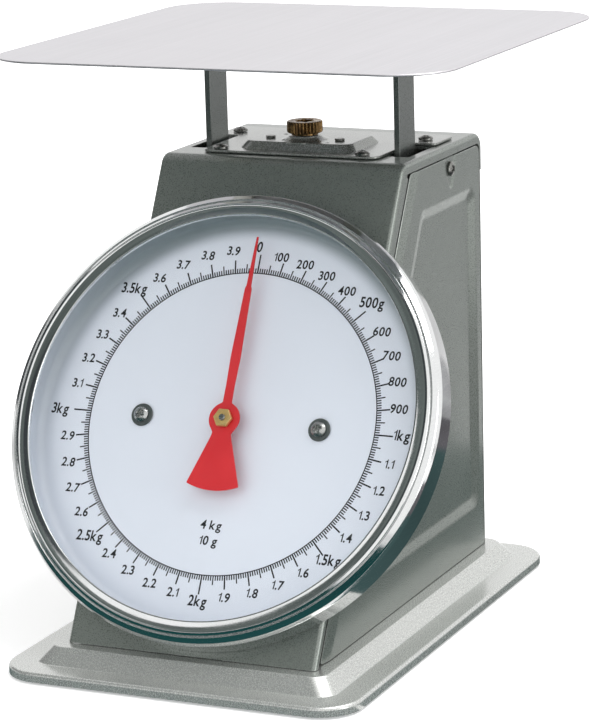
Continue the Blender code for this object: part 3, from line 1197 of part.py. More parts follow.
def make_pointer(dial_axis, red, brass):
    """A flat hand: slim tip, swelling blade, round hub and a fan-shaped tail."""
    hub_turn = [math.radians(angle) for angle in POINTER_HUB_ANGLES]
    right = [(POINTER_TIP_HALF, POINTER_TIP), (POINTER_TIP_HALF, POINTER_SHOULDER + POINTER_HUB_RADIUS / 2),
             (POINTER_SHOULDER_HALF, POINTER_SHOULDER), (POINTER_MID_HALF, POINTER_TIP / 3),
             (POINTER_ROOT_HALF, POINTER_HUB_RADIUS * POINTER_ROOT_SHARE)]
    right += [(POINTER_HUB_RADIUS * math.cos(a), POINTER_HUB_RADIUS * math.sin(a)) for a in hub_turn]
    right += [(POINTER_NECK_HALF, -POINTER_HUB_RADIUS * POINTER_NECK_SHARE)]
    tail_angle = math.asin(POINTER_TAIL_HALF / POINTER_TAIL)
    right += [(POINTER_TAIL * math.sin(a), -POINTER_TAIL * math.cos(a))
              for a in (tail_angle, tail_angle * 2 / 3, tail_angle / 3)]
    outline = right + [(0.0, -POINTER_TAIL)] + [(-x, y) for x, y in reversed(right)]
    pointer = plate("pointer", outline, POINTER_HEIGHT, POINTER_HEIGHT + POINTER_SHEET, lying, dial_axis, red)
    sleeve = plate("pointer_sleeve", circle(NUT_RADIUS, SMALL_STEPS), POINTER_HEIGHT - POINTER_HUB_DEEP,
                   POINTER_HEIGHT + POINTER_SHEET / 2, lying, dial_axis)
    fuse(pointer, sleeve)
    hole = SPINDLE_RADIUS + BORE_PLAY
    bore(pointer, hole, (0.0, 0.0), POINTER_HEIGHT - POINTER_HUB_DEEP - OVERRUN, POINTER_HEIGHT + OVERRUN)
    seat = POINTER_HEIGHT + POINTER_SHEET + GAP
    nut = plate("pointer_nut", circle(NUT_RADIUS, 6), seat, seat + NUT_THICK, lying, dial_axis, brass)
    bore(nut, hole, (0.0, 0.0), seat - OVERRUN, seat + NUT_THICK + OVERRUN)


def build():
    for old in list(bpy.data.objects):
        bpy.data.objects.remove(old, do_unlink=True)
    body_paint = material("body_paint", (0.19, 0.21, 0.20), 0.35, 0.35)
    base_paint = material("base_paint", (0.35, 0.36, 0.34), 0.45, 0.3)
    pillar_paint = material("pillar_paint", (0.11, 0.13, 0.12), 0.4, 0.3)
    stainless = material("stainless", (0.72, 0.70, 0.73), 0.35, 0.9)
    chrome = material("chrome", (0.85, 0.86, 0.86), 0.08, 1.0)
    plated = material("plated_steel", (0.5, 0.5, 0.48), 0.35, 0.9)
    steel = material("bright_steel", (0.6, 0.6, 0.6), 0.25, 1.0)
    brass = material("brass", (0.56, 0.38, 0.14), 0.3, 1.0)
    rubber = material("rubber", (0.03, 0.035, 0.035), 0.7)
    red = material("pointer_red", (0.55, 0.02, 0.03), 0.35)
    dial_white = material("dial_white", (0.74, 0.77, 0.85), 0.4)
    clear = material("clear_lens", (0.95, 0.97, 0.97), 0.02, 0.0, 0.3)

    stand = empty("stand", (0.0, origin_shift, 0.0))
    axis_y = front_face_y(DIAL_HEIGHT)
    dial_axis = empty("dial_axis", (0.0, axis_y, DIAL_HEIGHT), math.pi / 2 - FRONT_SLOPE, stand)

    make_base(stand, base_paint)
    make_feet(stand, rubber)
    make_wrap(stand, body_paint, dial_axis)
    make_side_panel("side_panel_left", -1, stand, body_paint)
    make_side_panel("side_panel_right", 1, stand, body_paint)
    make_rear_panel(stand, body_paint)
    make_top_plate(stand, body_paint)
    make_body_screws(stand, steel)
    make_zero_adjuster(stand, brass, steel)
    make_hanger(stand, plated)
    make_springs(stand, steel)
    make_linkage(stand, steel, plated)
    make_pillars(stand, pillar_paint)
    make_tray_bars(stand, plated, rubber)
    make_tray(stand, stainless)
    make_rack(stand, dial_axis, brass)
    make_spindle(dial_axis, steel, brass, plated)
    make_dial(dial_axis, dial_white, rubber, steel, plated)
    make_bezel(dial_axis, chrome, clear, rubber)
    make_pointer(dial_axis, red, brass)


build()
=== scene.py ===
import json
import math

import bmesh
import bpy
import numpy as np
from mathutils import Matrix, Vector


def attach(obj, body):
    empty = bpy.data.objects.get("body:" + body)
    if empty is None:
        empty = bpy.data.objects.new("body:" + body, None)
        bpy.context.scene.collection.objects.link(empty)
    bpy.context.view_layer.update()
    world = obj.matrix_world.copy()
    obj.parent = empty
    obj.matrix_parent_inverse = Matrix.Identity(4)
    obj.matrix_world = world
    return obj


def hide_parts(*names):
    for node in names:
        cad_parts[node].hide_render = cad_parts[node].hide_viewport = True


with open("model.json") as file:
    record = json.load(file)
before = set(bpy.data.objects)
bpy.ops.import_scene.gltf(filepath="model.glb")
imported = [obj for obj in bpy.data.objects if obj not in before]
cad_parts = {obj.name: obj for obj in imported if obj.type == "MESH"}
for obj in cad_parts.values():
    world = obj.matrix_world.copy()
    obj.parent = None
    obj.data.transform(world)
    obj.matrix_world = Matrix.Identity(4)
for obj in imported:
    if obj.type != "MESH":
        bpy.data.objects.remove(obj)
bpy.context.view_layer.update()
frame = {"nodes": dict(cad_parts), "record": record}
cadNodes = frame["nodes"]
print("frame loaded:", len(cadNodes), "nodes")

# Shared places. Lengths in this file are millimetres, turned to metres when a piece is placed.
housing = {
    "halfWidth": 63.5, "frontY": -108.7, "rearY": 108.7, "floorZ": 13.5, "topZ": 226.1,
    "lean": math.radians(28.7),  # the front leans back from upright
    "rowShift": -7.65,  # from the housing's middle to the row's origin, along Y
}
dialPlace = {"y": -62.9703, "z": 111.0, "screwX": 45.8}
plateScrews = {"rear": (49.9, 69.0, (20, 65)), "front": (37.3, 19.6, (38, 5))}  # x, y and the heads' turns
sideScrew = {"y": 67.5, "z": 214.3}
screwHole = 1.9
knobY, studX = 36.6, 18.3
sides = (("left", -1), ("right", 1))
leanCos, leanSin, leanTan = math.cos(housing["lean"]), math.sin(housing["lean"]), math.tan(housing["lean"])


# housing coordinates in millimetres to the row's metres
def toRow(points):
    return (np.asarray(points, float) + (0.0, housing["rowShift"], 0.0)) * 0.001


# dial coordinates: across, up the dial, and out from the front panel
def toDial(points):
    across, upward, out = np.asarray(points, float).T
    y = dialPlace["y"] + upward * leanSin - out * leanCos
    z = dialPlace["z"] + upward * leanCos + out * leanSin
    return np.stack([across, y, z], 1) * 0.001


# where the sloping front is at a height: frontY + (z - floorZ) * tan(lean)
def frontFaceY(z):
    return housing["frontY"] + (z - housing["floorZ"]) * leanTan


# outline (a, b) and height h laid flat, in the side view or in the front view
def laid(points, view):
    order = {"flat": [0, 1, 2], "side": [2, 0, 1], "front": [0, 2, 1]}[view]
    return np.asarray(points, float)[:, order]


def atHeight(line, height):
    return np.column_stack([line, np.full(len(line), height)])


# the four-cornered cells of a rows x columns grid; a wrapped direction closes on itself
def gridCells(rows, columns, wrapRows=False, wrapColumns=False):
    row = np.arange(rows if wrapRows else rows - 1)
    column = np.arange(columns if wrapColumns else columns - 1)
    a, b = (index.ravel() for index in np.meshgrid(row, column, indexing="ij"))
    nextA, nextB = (a + 1) % rows, (b + 1) % columns
    return np.stack([a * columns + b, a * columns + nextB, nextA * columns + nextB, nextA * columns + b], 1)


# each corner becomes an arc: centre + radius * (cos, sin), from one tangent point to the other
def roundedLine(corners, radii, steps=8, closed=True):
    corners = np.asarray(corners, float)
    count, pieces = len(corners), []
    for index, radius in enumerate(radii):
        here = corners[index]
        if radius <= 0 or (not closed and index in (0, count - 1)):
            pieces.append(here[None])
            continue
        into, out = here - corners[index - 1], corners[(index + 1) % count] - here
        into, out = into / np.linalg.norm(into), out / np.linalg.norm(out)
        turn = math.atan2(into[0] * out[1] - into[1] * out[0], into @ out)
        start = here - into * radius * math.tan(abs(turn) / 2)
        centre = start + np.array([-into[1], into[0]]) * radius * math.copysign(1, turn)
        angle = np.linspace(0, turn, steps + 1)[:, None]
        spoke = start - centre
        pieces.append(centre + spoke * np.cos(angle) + np.array([-spoke[1], spoke[0]]) * np.sin(angle))
    return np.concatenate(pieces)


def boxLine(left, right, low, high, radius, steps=8):
    return roundedLine([(left, low), (right, low), (right, high), (left, high)], [radius] * 4, steps)


# centre + radius * (cos t, sin t), all the way round
def circleLine(radius, steps, centre=(0.0, 0.0)):
    turn = np.linspace(0, 2 * np.pi, steps, endpoint=False)
    return np.stack([centre[0] + radius * np.cos(turn), centre[1] + radius * np.sin(turn)], 1)


# the same between two angles in degrees, as a bit of a profile
def arcPoints(centre, radius, first, last, steps):
    turn = np.radians(np.linspace(first, last, steps + 1))
    return np.stack([centre[0] + radius * np.cos(turn), centre[1] + radius * np.sin(turn)], 1)


# every point moves to its left by the distance, along the mean direction of its two neighbours
def shiftedLine(line, distance, closed=True):
    if closed:
        before, after = np.roll(line, 1, 0), np.roll(line, -1, 0)
    else:
        before = np.vstack([2 * line[0] - line[1], line[:-1]])
        after = np.vstack([line[1:], 2 * line[-1] - line[-2]])
    into, out = line - before, after - line
    into /= np.linalg.norm(into, axis=1)[:, None]
    out /= np.linalg.norm(out, axis=1)[:, None]
    mean = into + out
    mean /= np.linalg.norm(mean, axis=1)[:, None]
    reach = distance / np.clip((mean * out).sum(1), 0.3, None)
    return line + np.stack([-mean[:, 1], mean[:, 0]], 1) * reach[:, None]


# 0 below low, 1 above high, 3 s^2 - 2 s^3 in between
def eased(value, low, high):
    share = np.clip((value - low) / (high - low), 0, 1)
    return share * share * (3 - 2 * share)


# a shell is points, cells and caps; rings of equal count are joined one to the next
def ringShell(rings, capped=True, wrapRows=False):
    rings = np.asarray(rings, float)
    rows, columns = rings.shape[:2]
    cells = gridCells(rows, columns, wrapRows, True)
    caps = [np.arange(columns)[::-1], np.arange(columns) + (rows - 1) * columns] if capped else []
    return rings.reshape(-1, 3), cells, caps


# an outline with thickness: at edge angle a it is drawn in by edge (1 - sin a), at height edge (1 - cos a)
def slabShell(outline, low, high, edge=0.3, steps=3, view="flat"):
    turn = np.linspace(0, np.pi / 2, steps + 1)
    inset, rise = edge * (1 - np.sin(turn)), edge * (1 - np.cos(turn))
    insets = np.concatenate([inset, inset[::-1]])
    heights = np.concatenate([low + rise, high - rise[::-1]])
    rings = []
    for draw, height in zip(insets, heights):
        ring = shiftedLine(outline, draw) if draw > 1e-9 else outline
        rings.append(laid(atHeight(ring, height), view))
    return ringShell(rings)


# a profile (radius, height) turned round the axis: (radius cos t, radius sin t, height)
def turnedShell(profile, steps=96, centre=(0.0, 0.0, 0.0), closed=False):
    radius, height = np.asarray(profile, float).T
    turn = np.linspace(0, 2 * np.pi, steps, endpoint=False)
    rings = np.stack([radius[:, None] * np.cos(turn), radius[:, None] * np.sin(turn),
                      height[:, None] + 0 * turn], 2) + centre
    return ringShell(rings, capped=False, wrapRows=closed)


# a step of carving is an operation and the shells it takes; cutting slabs have all but sharp edges
def slabStep(operation, line, low, high, view="flat"):
    return operation, [slabShell(line, low, high, 0.01, 1, view)]


def cutSlab(line, low, high, view="flat"):
    return slabStep("DIFFERENCE", line, low, high, view)


def cutHole(radius, steps, centre, low, high, view="flat"):
    return cutSlab(circleLine(radius, steps, centre), low, high, view)


def addObject(name, data):
    obj = bpy.data.objects.new(name, data)
    bpy.context.scene.collection.objects.link(obj)
    return obj


def newMesh(name, shells, place):
    points, faces, start = [], [], 0
    for shellPoints, cells, caps in shells:
        points.append(shellPoints)
        faces += (cells + start).tolist() + [(cap + start).tolist() for cap in caps]
        start += len(shellPoints)
    mesh = bpy.data.meshes.new(name)
    mesh.from_pydata(place(np.concatenate(points)).tolist(), [], faces)
    return mesh


# doubles merged, normals outwards, smooth where neighbours turn by less than the given angle
def settleMesh(mesh, sharp=32.0, outward=True):
    work = bmesh.new()
    work.from_mesh(mesh)
    bmesh.ops.remove_doubles(work, verts=work.verts, dist=2e-6)
    bmesh.ops.dissolve_degenerate(work, edges=work.edges, dist=1e-7)
    if outward:
        bmesh.ops.recalc_face_normals(work, faces=work.faces)
    work.to_mesh(mesh)
    work.free()
    mesh.shade_smooth()
    mesh.set_sharp_from_angle(angle=math.radians(sharp))


def appliedModifiers(obj):
    graph = bpy.context.evaluated_depsgraph_get()
    done = bpy.data.meshes.new_from_object(obj.evaluated_get(graph))
    obj.modifiers.clear()
    old, obj.data = obj.data, done
    bpy.data.meshes.remove(old)


# joins or cuts a piece with other shells, one after the other
def carve(obj, steps, place):
    for operation, shells in steps:
        toolMesh = newMesh("tool", shells, place)
        settleMesh(toolMesh)
        tool = addObject("tool", toolMesh)
        change = obj.modifiers.new(operation, "BOOLEAN")
        change.operation, change.object, change.solver = operation, tool, "EXACT"
        appliedModifiers(obj)
        bpy.data.objects.remove(tool, do_unlink=True)
        bpy.data.meshes.remove(toolMesh)
    settleMesh(obj.data)


# the one finish, wide faces with their own flat normals beside narrow bends, and what the piece stands for
def dressPiece(obj, finish, rideOn, node):
    obj.data.materials.clear()
    obj.data.materials.append(finish)
    weighted = obj.modifiers.new("weighted", "WEIGHTED_NORMAL")
    weighted.keep_sharp = True
    weighted.weight = 100
    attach(obj, rideOn)
    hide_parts(node)


def finishPiece(name, shells, finish, rideOn, node, place=toRow, sharp=32.0, carving=()):
    mesh = newMesh(name, shells, place)
    settleMesh(mesh, sharp)
    obj = addObject(name, mesh)
    if carving:
        carve(obj, carving, place)
    dressPiece(obj, finish, rideOn, node)


# a CAD node's own shape with its edges softened
def softenedCopy(node, finish, rideOn, edge):
    mesh = cadNodes[node].data.copy()
    mesh.name = node + "_soft"
    obj = addObject(node + "_soft", mesh)
    settleMesh(mesh, outward=False)
    work = bmesh.new()
    work.from_mesh(mesh)
    bmesh.ops.dissolve_limit(work, angle_limit=math.radians(1.0), verts=work.verts, edges=work.edges)
    work.to_mesh(mesh)
    work.free()
    bevel = obj.modifiers.new("edge", "BEVEL")
    bevel.width, bevel.segments, bevel.limit_method = edge * 0.001, 2, "ANGLE"
    bevel.angle_limit = math.radians(40)
    dressPiece(obj, finish, rideOn, node)


# numbers and tuples are typed into a node's sockets, anything else is linked to them
def fill(tree, node, inputs):
    for key, value in inputs.items():
        if isinstance(value, (int, float, tuple)):
            node.inputs[key].default_value = value
        else:
            tree.links.new(value, node.inputs[key])
    return node


def put(tree, kind, inputs=None, **settings):
    made = tree.nodes.new("ShaderNode" + kind)
    for key, value in settings.items():
        setattr(made, key, value)
    return fill(tree, made, inputs or {})


def calc(tree, operation, first, second=None):
    inputs = {0: first} if second is None else {0: first, 1: second}
    return put(tree, "Math", inputs, operation=operation).outputs[0]


def times(tree, first, second):
    return calc(tree, "MULTIPLY", first, second)


def plus(tree, first, second):
    return calc(tree, "ADD", first, second)


def spread(tree, value, fromLow, fromHigh, toLow, toHigh, smooth=False):
    inputs = {"Value": value, "From Min": fromLow, "From Max": fromHigh, "To Min": toLow, "To Max": toHigh}
    kind = "SMOOTHSTEP" if smooth else "LINEAR"
    return put(tree, "MapRange", inputs, interpolation_type=kind).outputs[0]


def noise(tree, vector, scale, detail, roughness=0.5, distortion=0.0):
    return put(tree, "TexNoise", {"Vector": vector, "Scale": scale, "Detail": detail, "Roughness": roughness,
                                  "Distortion": distortion}).outputs[0]


def tinted(tree, colour, value):
    return put(tree, "HueSaturation", {"Color": colour, "Value": value}).outputs[0]


def mixColours(tree, share, first, second):
    return put(tree, "Mix", {0: share, 6: first, 7: second}, data_type="RGBA").outputs[2]


def bumpNormal(tree, height, strength, distance):
    return put(tree, "Bump", {"Height": height, "Strength": strength, "Distance": distance}).outputs[0]


def dotProduct(tree, first, second):
    return put(tree, "VectorMath", {0: first, 1: second}, operation="DOT_PRODUCT").outputs["Value"]


def newGroup(name, inputs, outputs):
    tree = bpy.data.node_groups.new(name, "ShaderNodeTree")
    for label, kind, value in inputs:
        socket = tree.interface.new_socket(label, in_out="INPUT", socket_type="NodeSocket" + kind)
        if value is not None:
            socket.default_value = value
    for label, kind in outputs:
        tree.interface.new_socket(label, in_out="OUTPUT", socket_type="NodeSocket" + kind)
    return tree, tree.nodes.new("NodeGroupInput").outputs, tree.nodes.new("NodeGroupOutput")


def grouped(tree, group, vector, inputs=None):
    return put(tree, "Group", {"Vector": vector, **(inputs or {})}, node_tree=group).outputs


# metallic paint: fine flakes that differ in brightness, cloudy patches, and the skin of the sprayed coat
def makeFlakeGroup():
    tree, given, out = newGroup("flakePaint", [
        ("Vector", "Vector", None), ("Colour", "Color", (0.5, 0.5, 0.5, 1)), ("Size", "Float", 1000.0),
        ("Contrast", "Float", 0.2)], [("Colour", "Color"), ("Grain", "Float"), ("Height", "Float")])
    flake = noise(tree, given["Vector"], given["Size"], 2.0, 0.7)
    cloud = noise(tree, given["Vector"], 9.0, 2.0)
    grain = times(tree, spread(tree, flake, 0.3, 0.7, -1.0, 1.0), given["Contrast"])
    lift = plus(tree, grain, spread(tree, cloud, 0.3, 0.7, 0.985, 1.015))
    fill(tree, out, {"Colour": tinted(tree, given["Colour"], lift), "Grain": flake,
                     "Height": noise(tree, given["Vector"], 420.0, 1.0)})
    return tree


# handling marks: smeared patches, and dust that settles on what faces up
def makeHandledGroup():
    tree, given, out = newGroup("handled", [("Vector", "Vector", None), ("Size", "Float", 30.0)],
                                [("Smear", "Float"), ("Dust", "Float")])
    wide = noise(tree, given["Vector"], given["Size"], 4.0, 0.6, 0.6)
    up = put(tree, "SeparateXYZ", {0: put(tree, "NewGeometry").outputs["Normal"]}).outputs[2]
    speck = noise(tree, given["Vector"], 260.0, 3.0)
    dust = times(tree, spread(tree, up, 0.6, 1.0, 0.0, 1.0), spread(tree, speck, 0.5, 0.72, 0.0, 1.0))
    fill(tree, out, {"Smear": spread(tree, wide, 0.42, 0.68, 0.0, 1.0, True), "Dust": dust})
    return tree


# wear and painted highlight on edges: where the normal of a slightly rounded surface leaves the true one,
# broken up by a noise
def makeEdgeGroup():
    tree, given, out = newGroup("edgeWearAndHighlight", [("Vector", "Vector", None)], [("Mask", "Float")])
    rounded = put(tree, "Bevel", {"Radius": 0.0009}, samples=6).outputs[0]
    agree = dotProduct(tree, rounded, put(tree, "NewGeometry").outputs["Normal"])
    brokenUp = spread(tree, noise(tree, given["Vector"], 160.0, 3.0), 0.35, 0.6, 0.25, 1.0)
    fill(tree, out, {"Mask": times(tree, spread(tree, agree, 0.99, 0.86, 0.0, 1.0), brokenUp)})
    return tree


# brushed metal: noise drawn out along one direction, in long and in short scratches
def makeBrushedGroup():
    tree, given, out = newGroup("brushed", [
        ("Vector", "Vector", None), ("Along", "Vector", (4.0, 900.0, 900.0))], [("Grain", "Float")])
    drawn = put(tree, "VectorMath", {0: given["Vector"], 1: given["Along"]}, operation="MULTIPLY").outputs[0]
    long, short = noise(tree, drawn, 1.0, 4.0, 0.7), noise(tree, drawn, 3.3, 2.0)
    fill(tree, out, {"Grain": plus(tree, times(tree, long, 0.65), times(tree, short, 0.35))})
    return tree


# turned metal: rings whose strength depends on the distance from the axis and on the height along it
def makeTurnedGroup():
    tree, given, out = newGroup("turnedRings", [("Vector", "Vector", None), ("Fine", "Float", 3000.0)],
                                [("Grain", "Float")])
    x, y, z = put(tree, "SeparateXYZ", {0: given["Vector"]}).outputs
    reach = calc(tree, "SQRT", plus(tree, times(tree, x, x), times(tree, y, y)))
    fine = given["Fine"]
    place = put(tree, "CombineXYZ", {0: times(tree, reach, fine), 1: times(tree, z, fine)}).outputs[0]
    fill(tree, out, {"Grain": noise(tree, place, 1.0, 3.0, 0.65)})
    return tree


flakeGroup, handledGroup, edgeGroup = makeFlakeGroup(), makeHandledGroup(), makeEdgeGroup()
brushedGroup, turnedGroup = makeBrushedGroup(), makeTurnedGroup()


def newFinish(name):
    made = bpy.data.materials.new(name)
    made.use_nodes = True
    tree = made.node_tree
    return made, tree, tree.nodes["Principled BSDF"], put(tree, "TexCoord").outputs["Object"]


def paintFinish(name, look):
    made, tree, shader, coords = newFinish(name)
    flake = grouped(tree, flakeGroup, coords, {"Colour": (*look["colour"], 1), "Size": look["flakeSize"],
                                               "Contrast": look["flakeContrast"]})
    handled = grouped(tree, handledGroup, coords, {"Size": 22.0})
    # edges move towards the lighter edge colour: partly wear, partly a painted highlight
    wornAndLit = times(tree, grouped(tree, edgeGroup, coords)["Mask"], look["edge"])
    dusty = mixColours(tree, times(tree, handled["Dust"], look["dust"]), flake["Colour"], (0.6, 0.6, 0.57, 1))
    rough = plus(tree, spread(tree, flake["Grain"], 0.3, 0.7, look["rough"] - 0.07, look["rough"] + 0.07),
                 times(tree, handled["Smear"], -0.015))
    colour = mixColours(tree, wornAndLit, dusty, (*look["edgeColour"], 1))
    fill(tree, shader, {"Base Color": colour, "Roughness": rough,
                        "Normal": bumpNormal(tree, flake["Height"], look["skin"], 0.0002),
                        "Metallic": look["metal"], "Coat Weight": look["coat"], "Coat Roughness": 0.16})
    return made


def metalFinish(name, look):
    made, tree, shader, coords = newFinish(name)
    if "along" in look:
        grain = grouped(tree, brushedGroup, coords, {"Along": look["along"]})["Grain"]
    else:
        centre = look.get("centre", (0, 0, 0))
        turned = put(tree, "Mapping", {"Vector": coords, "Location": centre}).outputs[0]
        grain = grouped(tree, turnedGroup, turned, {"Fine": look["fine"]})["Grain"]
    smear = grouped(tree, handledGroup, coords, {"Size": look["smearSize"]})["Smear"]
    tone = spread(tree, grain, 0.3, 0.7, 1 - look["contrast"], 1 + look["contrast"])
    colour = mixColours(tree, times(tree, smear, look["stain"]), tinted(tree, (*look["colour"], 1), tone),
                        (*look["stainColour"], 1))
    middle, reach = look["rough"], look["roughSpread"]
    rough = spread(tree, grain, 0.3, 0.7, middle - reach, middle + reach)
    rough = plus(tree, rough, times(tree, smear, look["smearRough"]))
    fill(tree, shader, {"Base Color": colour, "Roughness": rough, "Metallic": look["metal"],
                        "Normal": bumpNormal(tree, grain, look["bump"], 0.00005)})
    return made


bodyPaint = paintFinish("bodyPaint", {
    "colour": (0.248, 0.274, 0.250), "flakeSize": 2000.0, "flakeContrast": 0.12, "rough": 0.30, "metal": 0.60,
    "coat": 0.5, "skin": 0.07, "dust": 0.08, "edge": 0.45, "edgeColour": (0.50, 0.52, 0.50)})
basePaint = paintFinish("basePaint", {
    "colour": (0.590, 0.602, 0.580), "flakeSize": 1900.0, "flakeContrast": 0.12, "rough": 0.27, "metal": 0.62,
    "coat": 0.5, "skin": 0.09, "dust": 0.08, "edge": 0.5, "edgeColour": (0.64, 0.64, 0.61)})
topPaint = paintFinish("topPaint", {
    "colour": (0.330, 0.345, 0.325), "flakeSize": 2000.0, "flakeContrast": 0.15, "rough": 0.26, "metal": 0.65,
    "coat": 0.5, "skin": 0.12, "dust": 0.12, "edge": 0.5, "edgeColour": (0.60, 0.61, 0.58)})
pillarPaint = paintFinish("pillarPaint", {
    "colour": (0.190, 0.205, 0.195), "flakeSize": 1700.0, "flakeContrast": 0.15, "rough": 0.32, "metal": 0.86,
    "coat": 0.2, "skin": 0.12, "dust": 0.05, "edge": 0.4, "edgeColour": (0.36, 0.38, 0.37)})
traySteel = metalFinish("traySteel", {
    "colour": (0.640, 0.625, 0.650), "along": (700.0, 5.0, 700.0), "contrast": 0.09, "rough": 0.36,
    "roughSpread": 0.06, "smearSize": 9.0, "stain": 0.10, "stainColour": (0.60, 0.60, 0.62),
    "smearRough": 0.05, "bump": 0.3, "metal": 0.92})
chrome = metalFinish("chrome", {
    "colour": (0.84, 0.85, 0.85), "fine": 900.0, "centre": (0, 0.0629703, -0.111), "contrast": 0.03,
    "rough": 0.09, "roughSpread": 0.02, "smearSize": 45.0, "stain": 0.12, "stainColour": (0.62, 0.64, 0.63),
    "smearRough": 0.05, "bump": 0.03, "metal": 1.0})
screwSteel = metalFinish("screwSteel", {
    "colour": (0.30, 0.30, 0.285), "fine": 5000.0, "contrast": 0.12, "rough": 0.22, "roughSpread": 0.06,
    "smearSize": 400.0, "stain": 0.6, "stainColour": (0.06, 0.058, 0.05), "smearRough": 0.12, "bump": 0.08,
    "metal": 1.0})
platedSteel = metalFinish("platedSteel", {
    "colour": (0.50, 0.50, 0.47), "along": (8.0, 500.0, 500.0), "contrast": 0.10, "rough": 0.38,
    "roughSpread": 0.08, "smearSize": 60.0, "stain": 0.35, "stainColour": (0.36, 0.34, 0.25),
    "smearRough": 0.08, "bump": 0.08, "metal": 0.95})
brightSteel = metalFinish("brightSteel", {
    "colour": (0.62, 0.62, 0.61), "fine": 2500.0, "contrast": 0.08, "rough": 0.24, "roughSpread": 0.05,
    "smearSize": 120.0, "stain": 0.25, "stainColour": (0.35, 0.33, 0.29), "smearRough": 0.08, "bump": 0.05,
    "metal": 1.0})
knobBrass = metalFinish("knobBrass", {
    "colour": (0.24, 0.145, 0.06), "fine": 5200.0, "centre": (0, -0.02895, -0.2336), "contrast": 0.18,
    "rough": 0.24, "roughSpread": 0.06, "smearSize": 260.0, "stain": 0.85,
    "stainColour": (0.035, 0.02, 0.013), "smearRough": 0.12, "bump": 0.12, "metal": 1.0})
plainBrass = metalFinish("plainBrass", {
    "colour": (0.86, 0.60, 0.24), "fine": 3500.0, "contrast": 0.08, "rough": 0.38, "roughSpread": 0.05,
    "smearSize": 200.0, "stain": 0.3, "stainColour": (0.40, 0.26, 0.10), "smearRough": 0.08, "bump": 0.05,
    "metal": 0.7})
darkRing = metalFinish("darkRing", {
    "colour": (0.085, 0.10, 0.098), "fine": 1800.0, "contrast": 0.15, "rough": 0.34, "roughSpread": 0.06,
    "smearSize": 90.0, "stain": 0.25, "stainColour": (0.16, 0.18, 0.17), "smearRough": 0.06, "bump": 0.1,
    "metal": 0.2})
blackRubber = metalFinish("blackRubber", {
    "colour": (0.022, 0.024, 0.024), "fine": 1800.0, "contrast": 0.15, "rough": 0.62, "roughSpread": 0.08,
    "smearSize": 90.0, "stain": 0.25, "stainColour": (0.07, 0.07, 0.068), "smearRough": 0.06, "bump": 0.2,
    "metal": 0.0})


# painted shadow and dark reflection of the bezel on the dial: grows with the distance from the dial's axis,
# most towards the top
def paintedRimShadow(tree, coords, look):
    axis = (0, dialPlace["y"] * 0.001, dialPlace["z"] * 0.001)
    away = put(tree, "VectorMath", {0: coords, 1: axis}, operation="SUBTRACT").outputs[0]
    up = dotProduct(tree, away, (0, leanSin, leanCos))
    across = put(tree, "SeparateXYZ", {0: away}).outputs[0]
    reach = calc(tree, "SQRT", plus(tree, times(tree, across, across), times(tree, up, up)))
    side = plus(tree, times(tree, up, 0.95), times(tree, across, 0.3))
    share = spread(tree, side, -0.09, 0.09, look["shadeLeast"], look["shadeMost"], True)
    return times(tree, spread(tree, reach, 0.0885, 0.0985, 0.0, 1.0, True), share)


# lacquered sheet of the dial and of the pointer: a smooth coat with faint clouds and specks; the dial's rim
# also gets a painted shadow
def lacquerFinish(name, look):
    made, tree, shader, coords = newFinish(name)
    cloud, speck = noise(tree, coords, look["cloudSize"], 3.0), noise(tree, coords, 900.0, 2.0)
    tone = plus(tree, spread(tree, cloud, 0.3, 0.7, 1 - look["contrast"], 1 + look["contrast"]),
                spread(tree, speck, 0.62, 0.75, 0.0, -look["contrast"]))
    tint = tinted(tree, (*look["colour"], 1), tone)
    # the dial darkens to a teal grey towards the bezel: painted shadow and painted reflection of the rim
    if "shade" in look:
        tint = mixColours(tree, paintedRimShadow(tree, coords, look), tint, (*look["shade"], 1))
    rough = spread(tree, cloud, 0.3, 0.7, look["rough"] - 0.04, look["rough"] + 0.04)
    fill(tree, shader, {"Base Color": tint, "Roughness": rough, "Coat Weight": look["coat"],
                        "Coat Roughness": 0.12, "Normal": bumpNormal(tree, speck, look["bump"], 0.00004)})
    return made


# the dial's shade colour is a painted shadow under the bezel, strongest towards the top
dialWhite = lacquerFinish("dialWhite", {
    "colour": (0.755, 0.790, 0.880), "cloudSize": 14.0, "contrast": 0.012, "rough": 0.34, "bump": 0.05,
    "coat": 0.25, "shade": (0.10, 0.15, 0.155), "shadeLeast": 0.05, "shadeMost": 0.85})
pointerRed = lacquerFinish("pointerRed", {
    "colour": (0.68, 0.010, 0.018), "cloudSize": 60.0, "contrast": 0.05, "rough": 0.36, "bump": 0.08,
    "coat": 0.12})
printInk = lacquerFinish("printInk", {
    "colour": (0.010, 0.010, 0.013), "cloudSize": 200.0, "contrast": 0.15, "rough": 0.5, "bump": 0.05,
    "coat": 0.0})


# clear sheet: see-through where looked at squarely, mirror-like towards its edge, from the outside only
def lensFinish(name, look):
    made, tree, shader, coords = newFinish(name)
    smear = grouped(tree, handledGroup, coords, {"Size": 26.0})["Smear"]
    outside = calc(tree, "SUBTRACT", 1.0, put(tree, "NewGeometry").outputs["Backfacing"])
    gloss = times(tree, put(tree, "Fresnel", {"IOR": look["index"]}).outputs[0], outside)
    fill(tree, shader, {"Roughness": spread(tree, smear, 0.0, 1.0, look["rough"], look["rough"] + 0.03),
                        "Base Color": (1, 1, 1, 1), "Metallic": 1.0})
    clear = put(tree, "BsdfTransparent", {"Color": (*look["tint"], 1)}).outputs[0]
    both = put(tree, "MixShader", {0: gloss, 1: clear, 2: shader.outputs[0]}).outputs[0]
    fill(tree, tree.nodes["Material Output"], {"Surface": both})
    return made


clearLens = lensFinish("clearLens", {"index": 1.3, "tint": (0.985, 0.992, 0.99), "rough": 0.02})
print("finishes made:", len(bpy.data.materials))

